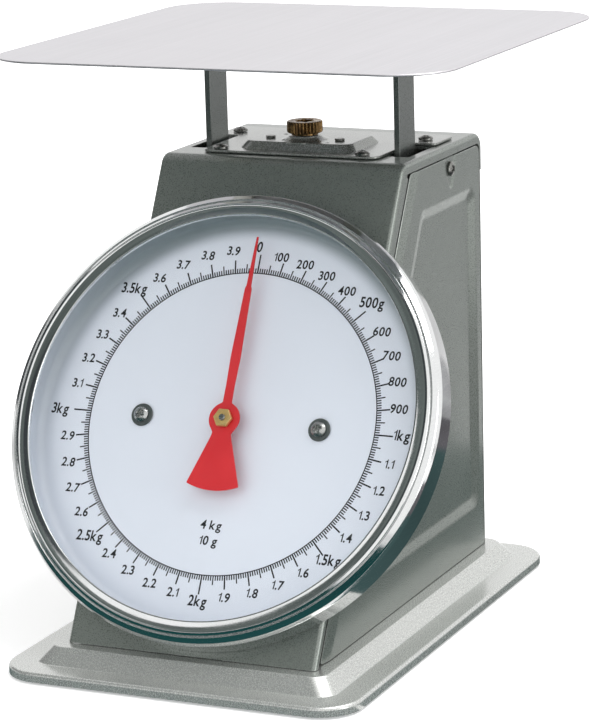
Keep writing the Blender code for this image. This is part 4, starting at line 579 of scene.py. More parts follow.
slotFinish = {
    "body_paint": bodyPaint, "base_paint": basePaint, "pillar_paint": pillarPaint, "stainless": traySteel,
    "chrome": chrome, "plated_steel": platedSteel, "bright_steel": brightSteel, "brass": plainBrass,
    "rubber": blackRubber, "pointer_red": pointerRed, "dial_white": dialWhite, "clear_lens": clearLens,
}
for part in frame["record"]["subparts"]:
    for materialSlot in cadNodes[part["node"]].material_slots:
        materialSlot.material = slotFinish[part["material_slot"]]

basePress = {"width": 178.4, "depth": 268.8, "corner": 20.0, "innerCorner": 8.5, "footLift": 1.2, "lip": 4.6,
             "lipRound": 1.8, "flange": 13.0, "rampRun": 6.0, "rampRise": 7.4, "sheet": 1.2, "bend": 1.0}
rubberFoot = {"radius": 8.0, "round": 1.2, "x": 55.2, "y": 100.4, "top": 11.7}


# rounded box drawn in by each profile point's inset, at its height
def buildBase():
    d = basePress
    top, run = d["lip"] + d["rampRise"], d["rampRun"]
    corners = [(0.0, 0.0), (0.0, d["lip"]), (d["flange"], d["lip"]), (d["flange"] + run, top),
               (d["flange"] + 2 * run, top)]
    outside = roundedLine(corners, [0, d["lipRound"], d["bend"], d["bend"], 0], 8, closed=False)
    inside = shiftedLine(outside, -d["sheet"], closed=False)
    rings = []
    for inset, height in np.vstack([outside[::-1], inside]):
        halfX, halfY = d["width"] / 2 - inset, d["depth"] / 2 - inset
        ring = boxLine(-halfX, halfX, -halfY, halfY, max(d["corner"] - inset, d["innerCorner"]), 20)
        rings.append(atHeight(ring, d["footLift"] + height))
    finishPiece("base", [ringShell(rings)], basePaint, "root", "base_plate", sharp=50)


# a profile whose lower edge is a quarter circle, turned round each foot's own axis
def buildFeet():
    d = rubberFoot
    wide, top = d["radius"], d["top"]
    arc = arcPoints((d["radius"] - d["round"], d["round"]), d["round"], 0, -90, 5)
    profile = np.vstack([[(0.0, top), (wide, top), (wide, d["round"])], arc, [(0.0, 0.0)]])
    for endWord, end in (("front", -1), ("rear", 1)):
        for word, side in sides:
            corner = f"{endWord}_{word}"
            shell = turnedShell(profile, 48, (side * d["x"], end * d["y"], 0.0))
            finishPiece("rubber_" + corner, [shell], blackRubber, "root", "foot_" + corner)


buildBase()
buildFeet()
print("base built")

wrapSheet = {"sheet": 1.0, "edgeBend": 2.2, "footReturn": 2.8, "headReturn": 8.0, "sideReturn": 5.2,
             "rearReturn": 2.6, "topFront": 7.0, "topRear": 8.0, "rearLip": 11.0, "lipProud": 1.3,
             "bendSteps": 8, "pathSteps": 16, "slotX": (46.5, 57.7), "slotY": (28.0, 58.0),
             "tabX": (60.8, 62.0), "tabHalf": 12.0, "tabDeep": 20.0, "windowHalf": 24.6,
             "windowY": (28.8, 56.4), "notchHalf": 45.4, "notchDeep": 6.8, "spindleHole": 5.15}


# section of a sheet with both edges bent over, as (across, inwards) points; each bend is a quarter circle
def channelLine(half, bend, depth, sheet, steps):
    turn = np.linspace(0, np.pi / 2, steps + 1)
    middle, within = half - bend, bend - sheet
    outer = np.stack([middle + bend * np.sin(turn), bend - bend * np.cos(turn)], 1)
    inner = np.stack([middle + within * np.sin(turn[::-1]), bend - within * np.cos(turn[::-1])], 1)
    right = np.vstack([outer, [(half, depth), (half - sheet, depth)], inner])
    return np.vstack([right, right[::-1] * (-1, 1)])


# the section carried along a side-view path: (across, y + turnY * inwards, z + turnZ * inwards)
def channelShell(path, inward, depths):
    d, rings = wrapSheet, []
    for (y, z), (turnY, turnZ), depth in zip(path, inward, depths):
        across, deep = channelLine(housing["halfWidth"], d["edgeBend"], depth, d["sheet"], d["bendSteps"]).T
        rings.append(np.stack([across, y + turnY * deep, z + turnZ * deep], 1))
    return ringShell(rings)


# a hole square to the dial, in housing coordinates
def cutDialHole(radius, x, steps):
    points, cells, caps = slabShell(circleLine(radius, steps, (x, 0.0)), -4, 4, 0.01, 1)
    return "DIFFERENCE", [(toDial(points) * 1000 - (0.0, housing["rowShift"], 0.0), cells, caps)]


# the section along the front, top and lip, its depth interpolated from foot to head; tabs added, holes cut
def buildWrap():
    d, h = wrapSheet, housing
    top, lipY = h["topZ"], h["rearY"] + d["lipProud"]
    below, above = top - 5, top + 4
    corners = [(h["frontY"], h["floorZ"]), (frontFaceY(top), top), (lipY, top),
               (lipY, top - d["topRear"] - d["rearLip"])]
    path = roundedLine(corners, [0, d["topFront"], d["topRear"], 0], d["pathSteps"], closed=False)
    inward = shiftedLine(path, -1.0, closed=False) - path
    inward[0] = (1 / leanCos, 0.0)
    last = len(path) - 1
    stops = [0, 1, 1 + d["pathSteps"], last - 1 - d["pathSteps"], last]
    returns = [d[key] for key in ("footReturn", "headReturn", "sideReturn", "sideReturn")]
    depths = np.interp(np.arange(len(path)), stops, returns + [d["rearReturn"] + d["lipProud"]])
    tabY, half = sideScrew["y"], d["tabHalf"]
    tab = boxLine(tabY - half, tabY + half, top - d["tabDeep"], top - 0.5, 0.5, 2)
    carving = []
    for side in (-1, 1):
        left, right = sorted(side * x for x in d["slotX"])
        carving.append(cutSlab(boxLine(left, right, *d["slotY"], 1.0, 4), below, above))
        for x, y, turns in plateScrews.values():
            carving.append(cutHole(screwHole, 20, (side * x, y), below, above))
        carving.append(cutDialHole(screwHole, side * dialPlace["screwX"], 20))
        left, right = sorted(side * x for x in d["tabX"])
        carving.append(slabStep("UNION", tab, left, right, "side"))
        carving.append(cutHole(screwHole, 20, (sideScrew["y"], sideScrew["z"]), left - 1, right + 1, "side"))
    carving.append(cutSlab(boxLine(-d["windowHalf"], d["windowHalf"], *d["windowY"], 3.0, 6), below, above))
    half, front, rear = d["notchHalf"], lipY - d["notchDeep"], lipY + 4
    notch = [(-half, front), (half, front), (half, rear), (-half, rear)]
    carving.append(cutSlab(roundedLine(notch, [1.8, 1.8, 0, 0], 5), top - 8, above))
    carving.append(cutDialHole(d["spindleHole"], 0.0, 40))
    finishPiece("wrap", [channelShell(path, inward, depths)], bodyPaint, "root", "housing_wrap",
                sharp=30, carving=carving)


buildWrap()
print("wrap built")

sidePress = {"frontLow": 7.5, "frontHigh": 12.9, "top": 6.0, "rear": 3.2, "recessFront": 31.7,
             "recessTop": 25.6, "recessRear": 9.2, "recessFoot": 21.7, "recessCorner": 7.0, "bevel": 6.0,
             "depth": 1.9, "sheet": 1.2, "edgeSheet": 0.35, "edgeRound": 0.25, "corner": 4.0,
             "cornerSteps": 8, "foldWidth": 8.0, "foldDrop": 1.25, "foldPower": 1.3, "dimple": 0.7,
             "dimpleHalf": 6.0, "dimpleTail": 10.5, "dimpleEase": 0.9, "counts": [150, 110, 90, 180],
             "rows": 46}


# side-view outline set in from the housing's front, top, rear and foot, with a fixed count of points per side
def sideLine(fronts, top, rear, foot, radii):
    steps = sidePress["cornerSteps"]
    low, high = housing["floorZ"] + foot, housing["topZ"] - top
    corners = [(frontFaceY(low) + fronts[0] / leanCos, low), (housing["rearY"] - rear, low),
               (housing["rearY"] - rear, high), (frontFaceY(high) + fronts[1] / leanCos, high)]
    return evenLine(roundedLine(corners, radii, steps), sidePress["counts"], steps)


# the same count of points along every side, so that rings match; sides are cut at equal lengths
def evenLine(line, counts, radiusSteps):
    corner, pieces = radiusSteps + 1, []
    for index, count in enumerate(counts):
        arc = line[index * corner:(index + 1) * corner]
        following = line[((index + 1) * corner) % len(line)]
        share = np.linspace(0, 1, count + 2)[1:-1, None]
        pieces += [arc, arc[-1] + (following - arc[-1]) * share]
    return np.concatenate(pieces)


# recess + fold along the front edge, (how far ahead / width)^1.3, + a drop-shaped dimple round the screw
def sidePanelDepth(y, z, recess):
    d = sidePress
    front = np.interp(z, (housing["floorZ"], housing["topZ"] - d["top"]), (d["frontLow"], d["frontHigh"]))
    foldY = housing["frontY"] + (front + d["foldWidth"]) / leanCos
    ahead = (y - foldY) * -leanCos + (z - housing["floorZ"]) * leanSin
    fold = d["foldDrop"] * (np.maximum(ahead, 0) / d["foldWidth"]) ** d["foldPower"]
    across, below = np.abs(y - sideScrew["y"]), sideScrew["z"] - z
    narrowing = np.where(below < 0, 1.0, (1 - np.clip(below / d["dimpleTail"], 0, 1)) ** 0.85)
    beside = eased(across - d["dimpleHalf"] * narrowing, -d["dimpleEase"], d["dimpleEase"])
    return d["depth"] * recess + fold + d["dimple"] * (1 - beside) * (1 - eased(below, 8.0, d["dimpleTail"]))


# a straight ramp from 0 to 1 whose two ends are parabolas: (share + blend)^2 / (4 blend)
def rampShare(share, blend=0.2):
    if share < blend:
        return max(share + blend, 0) ** 2 / (4 * blend)
    if share > 1 - blend:
        return 1 - max(1 + blend - share, 0) ** 2 / (4 * blend)
    return share


# rings from the panel's edge to the recess's rim and down its bevel, at x = half width - depth(y, z)
def buildSidePanel(word, side):
    d, grown = sidePress, sidePress["bevel"]
    corner, pressed = d["corner"], d["recessCorner"]
    edge = sideLine((d["frontLow"], d["frontHigh"]), d["top"], d["rear"], 0.0, [1.0, 1.0, corner, corner])
    rim = sideLine([d["recessFront"]] * 2, d["recessTop"], d["recessRear"], d["recessFoot"], [pressed] * 4)
    bed = sideLine([d["recessFront"] + grown] * 2, d["recessTop"] + grown, d["recessRear"] + grown,
                   d["recessFoot"] + grown, [pressed / 2] * 4)
    start = rim + (bed - rim) * -0.25
    flat = [(edge + (start - edge) * share, 0.0) for share in np.linspace(0, 1, d["rows"])[:-1]]
    sloped = [(rim + (bed - rim) * share, rampShare(share)) for share in np.linspace(-0.25, 1.25, 24)]
    outer = []
    for ring, down in flat + sloped:
        x = housing["halfWidth"] - sidePanelDepth(ring[:, 0], ring[:, 1], down)
        outer.append(np.column_stack([side * x, ring]))
    outer = np.array(outer)
    lip = outer[:1].copy()
    lip[:, :, 0] -= side * d["edgeRound"]
    within = outer[1, :, 1:] - outer[0, :, 1:]
    outer[0, :, 1:] += within / np.linalg.norm(within, axis=1)[:, None] * d["edgeRound"]
    inner = outer[::-1].copy()
    sheets = np.interp(np.arange(len(outer)), (0, 3), (d["edgeSheet"], d["sheet"]))
    inner[:, :, 0] -= side * sheets[::-1, None]
    low, high = sorted((side * 58, side * 66))
    hole = cutHole(screwHole, 20, (sideScrew["y"], sideScrew["z"]), low, high, "side")
    finishPiece("side_" + word, [ringShell(np.concatenate([inner, lip, outer]))], bodyPaint, "root",
                "side_panel_" + word, sharp=40, carving=[hole])


for word, side in sides:
    buildSidePanel(word, side)
print("side panels built")

rearSheet = {"lipTop": 207.1, "high": 224.8, "notchHalf": 44.8, "frontSet": 5.2}


# a channel like the wrap's up to its lip, and a bent strip above it that stands in the wrap's notch
def buildRear():
    d, y = rearSheet, housing["rearY"]
    path = np.array([(y, housing["floorZ"]), (y, d["lipTop"] - 0.3)])
    shell = channelShell(path, [(-1.0, 0.0)] * 2, [wrapSheet["rearReturn"]] * 2)
    foot, high, front = d["lipTop"] - 2.5, d["high"], y - d["frontSet"]
    line = [(y, foot), (y, high), (front, high), (front, high - 1), (y - 1, high - 1), (y - 1, foot)]
    outline = roundedLine(line, [0, 2.2, 0, 0, 1.2, 0], 6)
    strip = slabStep("UNION", outline, -d["notchHalf"], d["notchHalf"], "side")
    finishPiece("rear", [shell], bodyPaint, "root", "rear_panel", sharp=30, carving=[strip])


buildRear()
print("rear panel built")

topStamp = {"bottom": 226.4, "top": 227.6, "frontHalf": 46.0, "rearHalf": 58.5, "frontY": 15.5,
            "stepY": 60.0, "rearY": 86.0, "corner": 5.0, "plateauHalf": 30.2, "plateauFront": 23.2,
            "plateauRear": 62.0, "plateauCorner": 6.0, "rise": 3.5, "bevel": 2.6, "sheet": 1.2,
            "bossRise": 2.2, "bossRadius": 12.2, "bossTop": 8.0, "knobHole": 2.8, "studHole": 2.3,
            "holes": [(-8.6, 30.2, 1.0), (15.0, 29.4, 1.0), (-15.2, 48.0, 1.2)]}


# plateau rings: the drawn-in distance follows the bevel, its two ends rounded
def plateauShell(shrink, low, foot, top):
    d = topStamp
    centre, deep = (d["plateauFront"] + d["plateauRear"]) / 2, d["plateauRear"] - d["plateauFront"]
    corners = [(0.0, foot), (d["bevel"], top), (d["bevel"] + 3, top)]
    line = roundedLine(corners, [0, 1.1, 0], 6, closed=False)[:-1]
    rings = []
    for inset, z in np.vstack([[(0.0, low)], line]):
        halfX, halfY = d["plateauHalf"] - shrink - inset, deep / 2 - shrink - inset
        ring = boxLine(-halfX, halfX, centre - halfY, centre + halfY, d["plateauCorner"], 10)
        rings.append(atHeight(ring, z))
    return ringShell(rings)


# a plate, a plateau and a boss whose radius flares as top + (foot - top) * (1 - share)^1.9
def buildTopPlate():
    d = topStamp
    left = [(-d["rearHalf"], d["rearY"]), (-d["rearHalf"], d["stepY"]), (-d["frontHalf"], d["stepY"]),
            (-d["frontHalf"], d["frontY"])]
    outline = left + [(-x, y) for x, y in reversed(left)]
    radii = [d["corner"], d["corner"] / 2, d["corner"] / 2, d["corner"]]
    plate = slabShell(roundedLine(outline, radii + radii[::-1], 8), d["bottom"], d["top"], 0.35, 3)
    plateauTop = d["top"] + d["rise"]
    bossFoot, bossTop = plateauTop - 0.6, plateauTop + d["bossRise"]
    share = np.linspace(0, 1, 9)
    flare = np.stack([d["bossTop"] + (d["bossRadius"] - d["bossTop"]) * (1 - share) ** 1.9,
                      plateauTop + d["bossRise"] * share], 1)
    boss = np.vstack([[(0.0, bossFoot), (d["bossRadius"], bossFoot)], flare, [(0.0, bossTop)]])
    carving = [("UNION", [plateauShell(0.0, d["top"] - 0.6, d["top"], plateauTop)]),
               ("UNION", [turnedShell(boss, 64, (0.0, knobY, 0.0))]),
               ("DIFFERENCE", [plateauShell(d["sheet"], d["bottom"] - 0.6, d["top"] - d["sheet"],
                                            plateauTop - d["sheet"])])]
    holes = [(0.0, knobY, d["knobHole"])] + [(side * studX, knobY, d["studHole"]) for side in (-1, 1)]
    for x, y, turns in plateScrews.values():
        holes += [(side * x, y, screwHole) for side in (-1, 1)]
    for x, y, radius in holes + d["holes"]:
        carving.append(cutHole(radius, 24, (x, y), d["bottom"] - 3, bossTop + 3))
    finishPiece("top_stamping", [plate], topPaint, "root", "top_plate", sharp=30,
                carving=carving)


buildTopPlate()
print("top plate built")

panHead = {"radius": 3.6, "height": 2.0, "crossReach": 2.1, "crossHalf": 0.5, "crossDepth": 1.3, "shank": 1.6,
           "length": 6.0, "rows": 26, "columns": 72}
guideStud = {"radius": 2.5, "low": -0.3, "high": 0.9, "shank": 2.0, "shankLow": -30.0, "seat": 231.4,
             "turn": 12}


screwSeats = {"plateZ": 227.9, "sideX": 63.1, "sideTurn": 30, "dialOut": 3.6, "dialTurn": 22}
washerRing = {"bore": 1.9, "foot": 5.3, "low": 2.7, "high": 3.3, "edge": (5.2, 3.0), "round": 0.3}


# the share of an arm of the cross: 1 along its middle, falling over its end and its sloping walls
def armShare(along, across):
    d = panHead
    return ((1 - eased(np.abs(along), d["crossReach"] - 0.35, d["crossReach"]))
            * (1 - eased(np.abs(across), d["crossHalf"] - 0.2, d["crossHalf"] + 0.12)))


# head height over (x, y): the dome height * (1 - 0.55 reach^2.6), less the cross; then rim and shank
def screwShell():
    d = panHead
    reach = np.linspace(0, 1, d["rows"])[:, None]
    turn = np.linspace(0, 2 * np.pi, d["columns"], endpoint=False)[None]
    x, y = d["radius"] * reach * np.cos(turn), d["radius"] * reach * np.sin(turn)
    dome = d["height"] * (1 - 0.55 * reach ** 2.6) + 0 * turn
    cross = np.maximum(armShare(x, y), armShare(y, x)) * d["crossDepth"] * (1 - 0.4 * reach)
    rings = list(np.stack([x, y, dome - cross], 2))
    edge, radius = rings[-1], d["radius"]
    for r, z in ((radius, 0.12), (radius - 0.12, 0.0), (d["shank"], 0.0), (d["shank"], -d["length"]),
                 (0.0, -d["length"])):
        rings.append(atHeight(edge[:, :2] * (r / radius), z))
    return ringShell(rings, capped=False)


# every point turned by a 3 x 3 matrix, then moved to its place
def turnedTo(shell, turn, place):
    points, cells, caps = shell
    return points @ np.array(turn).T + place, cells, caps


def aboutZ(degrees):
    a = math.radians(degrees)
    return np.array([[math.cos(a), -math.sin(a), 0], [math.sin(a), math.cos(a), 0], [0, 0, 1]])


def buildScrews():
    d, ring, shell = screwSeats, washerRing, screwShell()
    for end, (x, y, turns) in plateScrews.items():
        for (word, side), turn in zip(sides, turns):
            node = f"plate_screw_{end}_{word}"
            head = turnedTo(shell, aboutZ(turn), (side * x, y, d["plateZ"]))
            finishPiece(node + "_cross", [head], screwSteel, "root", node)
    for word, side in sides:
        lean = np.array([[0, 0, side], [0, 1, 0], [-side, 0, 0]]) @ aboutZ(d["sideTurn"])
        head = turnedTo(shell, lean, (side * d["sideX"], sideScrew["y"], sideScrew["z"]))
        finishPiece("side_screw_cross_" + word, [head], screwSteel, "root", "side_screw_" + word)
        dialX = side * dialPlace["screwX"]
        head = turnedTo(shell, aboutZ(side * d["dialTurn"]), (dialX, 0.0, d["dialOut"]))
        finishPiece("dial_screw_cross_" + word, [head], brightSteel, "root", "dial_screw_" + word,
                    toDial)
        edge = arcPoints(ring["edge"], ring["round"], -60, 90, 5)
        profile = np.vstack([[(ring["bore"], ring["low"]), (ring["foot"], ring["low"])], edge,
                             [(ring["bore"], ring["high"])]])
        finishPiece("dial_ring_" + word, [turnedShell(profile, 64, (dialX, 0, 0), True)], darkRing, "root",
                    "dial_washer_" + word, toDial)
        buildStud(word, side)


# a hexagon slab over a round shank, both turned and moved to the stud's seat
def buildStud(word, side):
    d = guideStud
    hexagon = roundedLine(circleLine(d["radius"], 6), [0.4] * 6, 3)
    shells = [slabShell(hexagon, d["low"], d["high"], 0.35, 3),
              slabShell(circleLine(d["shank"], 24), d["shankLow"], 0.5, 0.1, 1)]
    shells = [turnedTo(shell, aboutZ(d["turn"]), (side * studX, knobY, d["seat"])) for shell in shells]
    finishPiece("stud_" + word, shells, screwSteel, "root", "guide_stud_" + word)


buildScrews()
print("screws and studs built")

knobTurning = {"z": 233.6, "radius": 8.7, "height": 6.7, "collar": 6.6, "collarHeight": 1.0, "flutes": 30,
               "fluteDepth": 0.7, "edge": 0.6, "socket": 4.3, "lobe": 0.75, "lobes": 6, "socketDepth": 2.4,
               "bore": 2.65, "boreTop": 3.3}


# ring radius = r - flute depth * knurl share * (0.5 - 0.5 cos(flutes t))^1.5 + lobe share * cos(lobes t)
def buildKnob():
    d = knobTurning
    turn = np.linspace(0, 2 * np.pi, d["flutes"] * 12, endpoint=False)
    knurl = -d["fluteDepth"] * (0.5 - 0.5 * np.cos(d["flutes"] * turn)) ** 1.5
    lobes = d["lobe"] * np.cos(d["lobes"] * turn)
    top, low, wide, edge = d["height"], d["collarHeight"], d["radius"], d["edge"]
    collar, socket, bed = d["collar"], d["socket"], d["height"] - d["socketDepth"]
    # radius, height, knurl share and lobe share, from the bore round the outside to the socket's bed
    rows = [(d["bore"], d["boreTop"], 0, 0), (d["bore"], 0.0, 0, 0), (collar - 0.15, 0.0, 0, 0),
            (collar, 0.15, 0, 0), (collar, low, 0, 0), (wide - edge, low, 0, 0),
            (wide - 0.2, low + 0.25, 0.3, 0), (wide, low + edge, 1, 0), (wide, top - edge, 1, 0),
            (wide - 0.2, top - 0.2, 0.3, 0), (wide - edge, top, 0, 0), (6.6, top, 0, 0),
            (6.2, top - 0.12, 0, 0), (socket + 0.2, top - 0.12, 0, 1), (socket, top - 0.3, 0, 1),
            (socket - 0.25, bed, 0, 1), (0.0, bed - 0.3, 0, 0)]
    rings = []
    for radius, height, knurled, lobed in rows:
        reach = radius + knurl * knurled + lobes * lobed
        x, y = reach * np.cos(turn), knobY + reach * np.sin(turn)
        rings.append(np.stack([x, y, d["z"] + height + 0 * turn], 1))
    points, cells, caps = ringShell(rings, capped=False)
    finishPiece("knurled_knob", [(points, cells, [np.arange(len(turn))[::-1]])], knobBrass, "zero_adjuster",
                "zero_knob", sharp=28)


buildKnob()
print("knob built")

trayParts = {"halfSpan": 49.9, "thick": 3.0, "depth": 19.5, "y": 42.2, "turn": 14.0, "top": 276.6,
             "foot": 152.66, "width": 230.0, "corner": 29.0, "trayY": 34.7, "trayLow": 281.0,
             "trayHigh": 282.0, "peg": 2.5, "pegDrop": 6.0, "pegReach": 53.0}


# a side-on L with rounded bends, given the bar's depth; the left one is the right one mirrored
def buildPillars():
    d = trayParts
    inner, outer = d["halfSpan"] - d["thick"] / 2, d["halfSpan"] + d["thick"] / 2
    turned, under = inner - d["turn"], d["top"] - d["thick"]
    corners = [(inner, d["foot"]), (outer, d["foot"]), (outer, d["top"]), (turned, d["top"]), (turned, under),
               (inner, under)]
    line = roundedLine(corners, [0.7, 0.7, 3.0, 0.7, 0.7, 0.8], 8)
    for word, side in sides:
        flipped = (line * (side, 1))[::side]
        shell = slabShell(flipped, d["y"] - d["depth"] / 2, d["y"] + d["depth"] / 2, 0.4, 4, "front")
        finishPiece("upright_" + word, [shell], pillarPaint, "carriage", "pillar_" + word,
                    sharp=30)


# a square slab with rounded corners, and four round pegs below it
def buildTray():
    d = trayParts
    half = d["width"] / 2
    outline = boxLine(-half, half, d["trayY"] - half, d["trayY"] + half, d["corner"], 24)
    shells = [slabShell(outline, d["trayLow"], d["trayHigh"], 0.4, 5)]
    for x in (-d["halfSpan"], d["halfSpan"]):
        for y in (d["trayY"] - d["pegReach"], d["trayY"] + d["pegReach"]):
            peg = circleLine(d["peg"], 24, (x, y))
            shells.append(slabShell(peg, d["trayLow"] - d["pegDrop"], d["trayLow"] + 0.4, 0.4, 3))
    finishPiece("tray_sheet", shells, traySteel, "pan", "tray", sharp=30)


buildPillars()
buildTray()
for node in ("tray_bar_left", "tray_bar_right", "tray_cross_bar"):
    softenedCopy(node, platedSteel, "carriage", 0.35)
for node in ("grommet_front_left", "grommet_front_right", "grommet_rear_left", "grommet_rear_right"):
    softenedCopy(node, blackRubber, "carriage", 0.2)
print("pillars and tray built")

dialDish = {"wall": 100.5, "round": 5.0, "rim": 12.0, "low": 1.4, "sheet": 1.0, "bore": 4.0}


# the wall, its quarter-circle bend and the flat bed with a sheet's width between both sides, turned round
def buildDial():
    d = dialDish
    corners = [(d["wall"], d["rim"]), (d["wall"], d["low"]), (d["bore"], d["low"])]
    line = roundedLine(corners, [0, d["round"], 0], 12, closed=False)
    inner = shiftedLine(line, -d["sheet"], closed=False)
    holes = [cutHole(screwHole, 24, (side * dialPlace["screwX"], 0), -1, 5) for side in (-1, 1)]
    dish = turnedShell(np.vstack([line, inner[::-1]]), 192, closed=True)
    finishPiece("dial_dish", [dish], dialWhite, "root", "dial_plate", toDial, carving=holes)


dialMarks = {"count": 400, "ring": 73.2, "ringWide": 0.5, "short": 2.35, "middle": 4.4, "long": 6.6,
             "longest": 9.2, "fineWide": 0.60, "longWide": 0.74, "height": 2.44, "numberSize": 6.0,
             "largeSize": 7.1, "squeeze": 0.91, "largeSqueeze": 0.82, "bold": 0.022, "slant": 0.10,
             "letterGap": 0.075, "space": 0.25, "sideways": 4.4, "upDown": 3.8, "nudges": {0: (-1.2, 0.0),
             1: (-2.2, -0.8), 2: (-2.4, -0.6), 3: (-2.6, -0.4), 4: (-2.4, -0.2), 5: (-0.7, 0.9),
             16: (0.6, 0.5), 17: (0.6, 0.3), 18: (0.7, 0.4), 30: (-3.0, -0.8), 35: (-1.4, 0.2),
             36: (-1.0, 0.2), 37: (-1.0, 0.6), 38: (-1.2, 0.9), 39: (-1.2, 0.9)},
             "lines": (("4 kg", -50.0), ("10 g", -57.5)), "lineSqueeze": 0.95}


# one thin quad per mark: its four corners turned by the mark's own angle, all marks at once
def markShell():
    d = dialMarks
    index = np.arange(d["count"])
    kinds = [index % 50 == 0, index % 10 == 0, index % 5 == 0]
    length = np.select(kinds, [d["longest"], d["long"], d["middle"]], d["short"])
    half = np.where(index % 10 == 0, d["longWide"], d["fineWide"]) / 2
    turn = np.radians(90 - index * 360 / d["count"])
    along, across = np.stack([np.cos(turn), np.sin(turn)], 1), np.stack([-np.sin(turn), np.cos(turn)], 1)
    inner, outer = along * d["ring"], along * (d["ring"] + length[:, None])
    side = across * half[:, None]
    flat = np.stack([inner - side, outer - side, outer + side, inner + side], 1).reshape(-1, 2)
    return atHeight(flat, d["height"]), np.arange(len(flat)).reshape(-1, 4), []


# a flat ring between the circles radius - wide / 2 and radius + wide / 2
def ringBand(radius, wide, height, steps=360):
    rings = [atHeight(circleLine(edge, steps), height) for edge in (radius - wide / 2, radius + wide / 2)]
    return ringShell(rings, capped=False)


def numberText(index):
    if index == 0:
        return "0"
    if index % 5 == 0:
        return "500g" if index == 5 else f"{index / 10:g}kg"
    return str(index * 100) if index < 10 else f"{index / 10:.1f}"


oneShape = [(0.17, 0.0), (0.28, 0.0), (0.28, 0.70), (0.21, 0.70), (0.17, 0.61), (0.02, 0.53),
            (0.02, 0.44), (0.17, 0.52)]
glyphs = {"1": (np.array(oneShape), [np.arange(len(oneShape))])}


# one letter of size 1 as flat points and faces, kept for the next time; the 1 has its own shape with a flag
def glyphOf(letter):
    if letter not in glyphs:
        curve = bpy.data.curves.new("letter", "FONT")
        curve.body, curve.offset, curve.resolution_u = letter, dialMarks["bold"], 5
        holder = addObject("letter", curve)
        mesh = bpy.data.meshes.new_from_object(holder.evaluated_get(bpy.context.evaluated_depsgraph_get()))
        points = np.empty(len(mesh.vertices) * 3)
        mesh.vertices.foreach_get("co", points)
        faces = [np.array(polygon.vertices) for polygon in mesh.polygons]
        glyphs[letter] = (points.reshape(-1, 3)[:, :2], faces)
        bpy.data.objects.remove(holder)
        bpy.data.curves.remove(curve)
        bpy.data.meshes.remove(mesh)
    return glyphs[letter]


# letters side by side: x = size * squeeze * (x + slant * y), then moved to its centre on the dial
def letterShell(text, size, centre, squeeze):
    d, points, caps, count, pen = dialMarks, [], [], 0, 0.0
    for letter in text:
        if letter == " ":
            pen += d["space"]
            continue
        shape, faces = glyphOf(letter)
        points.append(shape + (pen - shape[:, 0].min(), 0.0))
        caps += [face + count for face in faces]
        count += len(shape)
        pen += np.ptp(shape[:, 0]) + d["letterGap"]
    flat = np.concatenate(points)
    flat[:, 0] += d["slant"] * flat[:, 1]
    flat = (flat - (flat.min(0) + flat.max(0)) / 2) * (size * squeeze, size) + centre
    return atHeight(flat, d["height"]), np.empty((0, 4), int), caps


# printing on the dial: faces that look inwards are turned round
def printPiece(name, shells):
    mesh = newMesh(name, shells, toDial)
    work = bmesh.new()
    work.from_mesh(mesh)
    bmesh.ops.remove_doubles(work, verts=work.verts, dist=1e-6)
    turned = [face for face in work.faces if np.dot(face.normal, (0.0, -leanCos, leanSin)) < 0]
    bmesh.ops.reverse_faces(work, faces=turned)
    work.to_mesh(mesh)
    work.free()
    obj = addObject(name, mesh)
    mesh.materials.append(printInk)
    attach(obj, "root")


# numbers stand upright outside the marks, at reach * (cos t, sin t) for every tenth mark
def buildMarks():
    d = dialMarks
    printPiece("dial_marks", [markShell(), ringBand(d["ring"], d["ringWide"], d["height"])])
    shells = []
    for index in range(40):
        large = index % 5 == 0
        turn = math.radians(90 - index * 9)
        reach = d["ring"] + (d["longest"] if large else d["long"])
        right, up = d["nudges"].get(index, (0, 0))
        centre = ((reach + d["sideways"]) * math.cos(turn) + right,
                  (reach + d["upDown"]) * math.sin(turn) + up)
        size, squeeze = (d["largeSize"], d["largeSqueeze"]) if large else (d["numberSize"], d["squeeze"])
        shells.append(letterShell(numberText(index), size, centre, squeeze))
    for text, upward in d["lines"]:
        shells.append(letterShell(text, d["numberSize"], (0.0, upward), d["lineSqueeze"]))
    printPiece("dial_numbers", shells)


buildDial()
buildMarks()
print("dial built")

bezelSpin = {"outer": 108.7, "skirtLow": 0.6, "steps": 360,
             "bends": [((108.7, 12.8), 1.6), ((107.7, 14.9), 2.2), ((105.15, 16.85), 0.3),
                       ((104.7, 16.15), 0.2), ((104.2, 16.85), 0.35), ((102.9, 17.55), 0.7),
                       ((101.5, 16.7), 0.0)],
             "lip": [(98.3, 17.45), (97.8, 17.45), (97.5, 17.25), (97.4, 16.9), (97.4, 15.6),
                     (97.55, 15.45)],
             "inside": [(101.2, 15.45), (102.7, 16.5), (103.6, 16.1), (104.7, 15.3), (106.7, 14.1),
                        (107.9, 12.2), (107.9, 0.9)]}
lensDisc = {"edge": 103.55, "round": 0.25, "front": 15.1, "back": 13.6}


# section from the skirt's foot over the stepped roll to the rising lip; the inside runs a sheet's width below
def buildBezel():
    d = bezelSpin
    places, bends = zip(*d["bends"])
    outside = roundedLine([(d["outer"], d["skirtLow"]), *places], [0, *bends], 7, closed=False)
    foot = [(d["outer"] - 0.25, d["skirtLow"])]
    outside = np.vstack([foot, outside[:1] + (0.0, 0.25), outside[1:], d["lip"]])
    profile = np.vstack([outside, d["inside"]])
    finishPiece("bezel_ring", [turnedShell(profile, d["steps"], closed=True)], chrome, "root", "bezel",
                toDial, sharp=50)


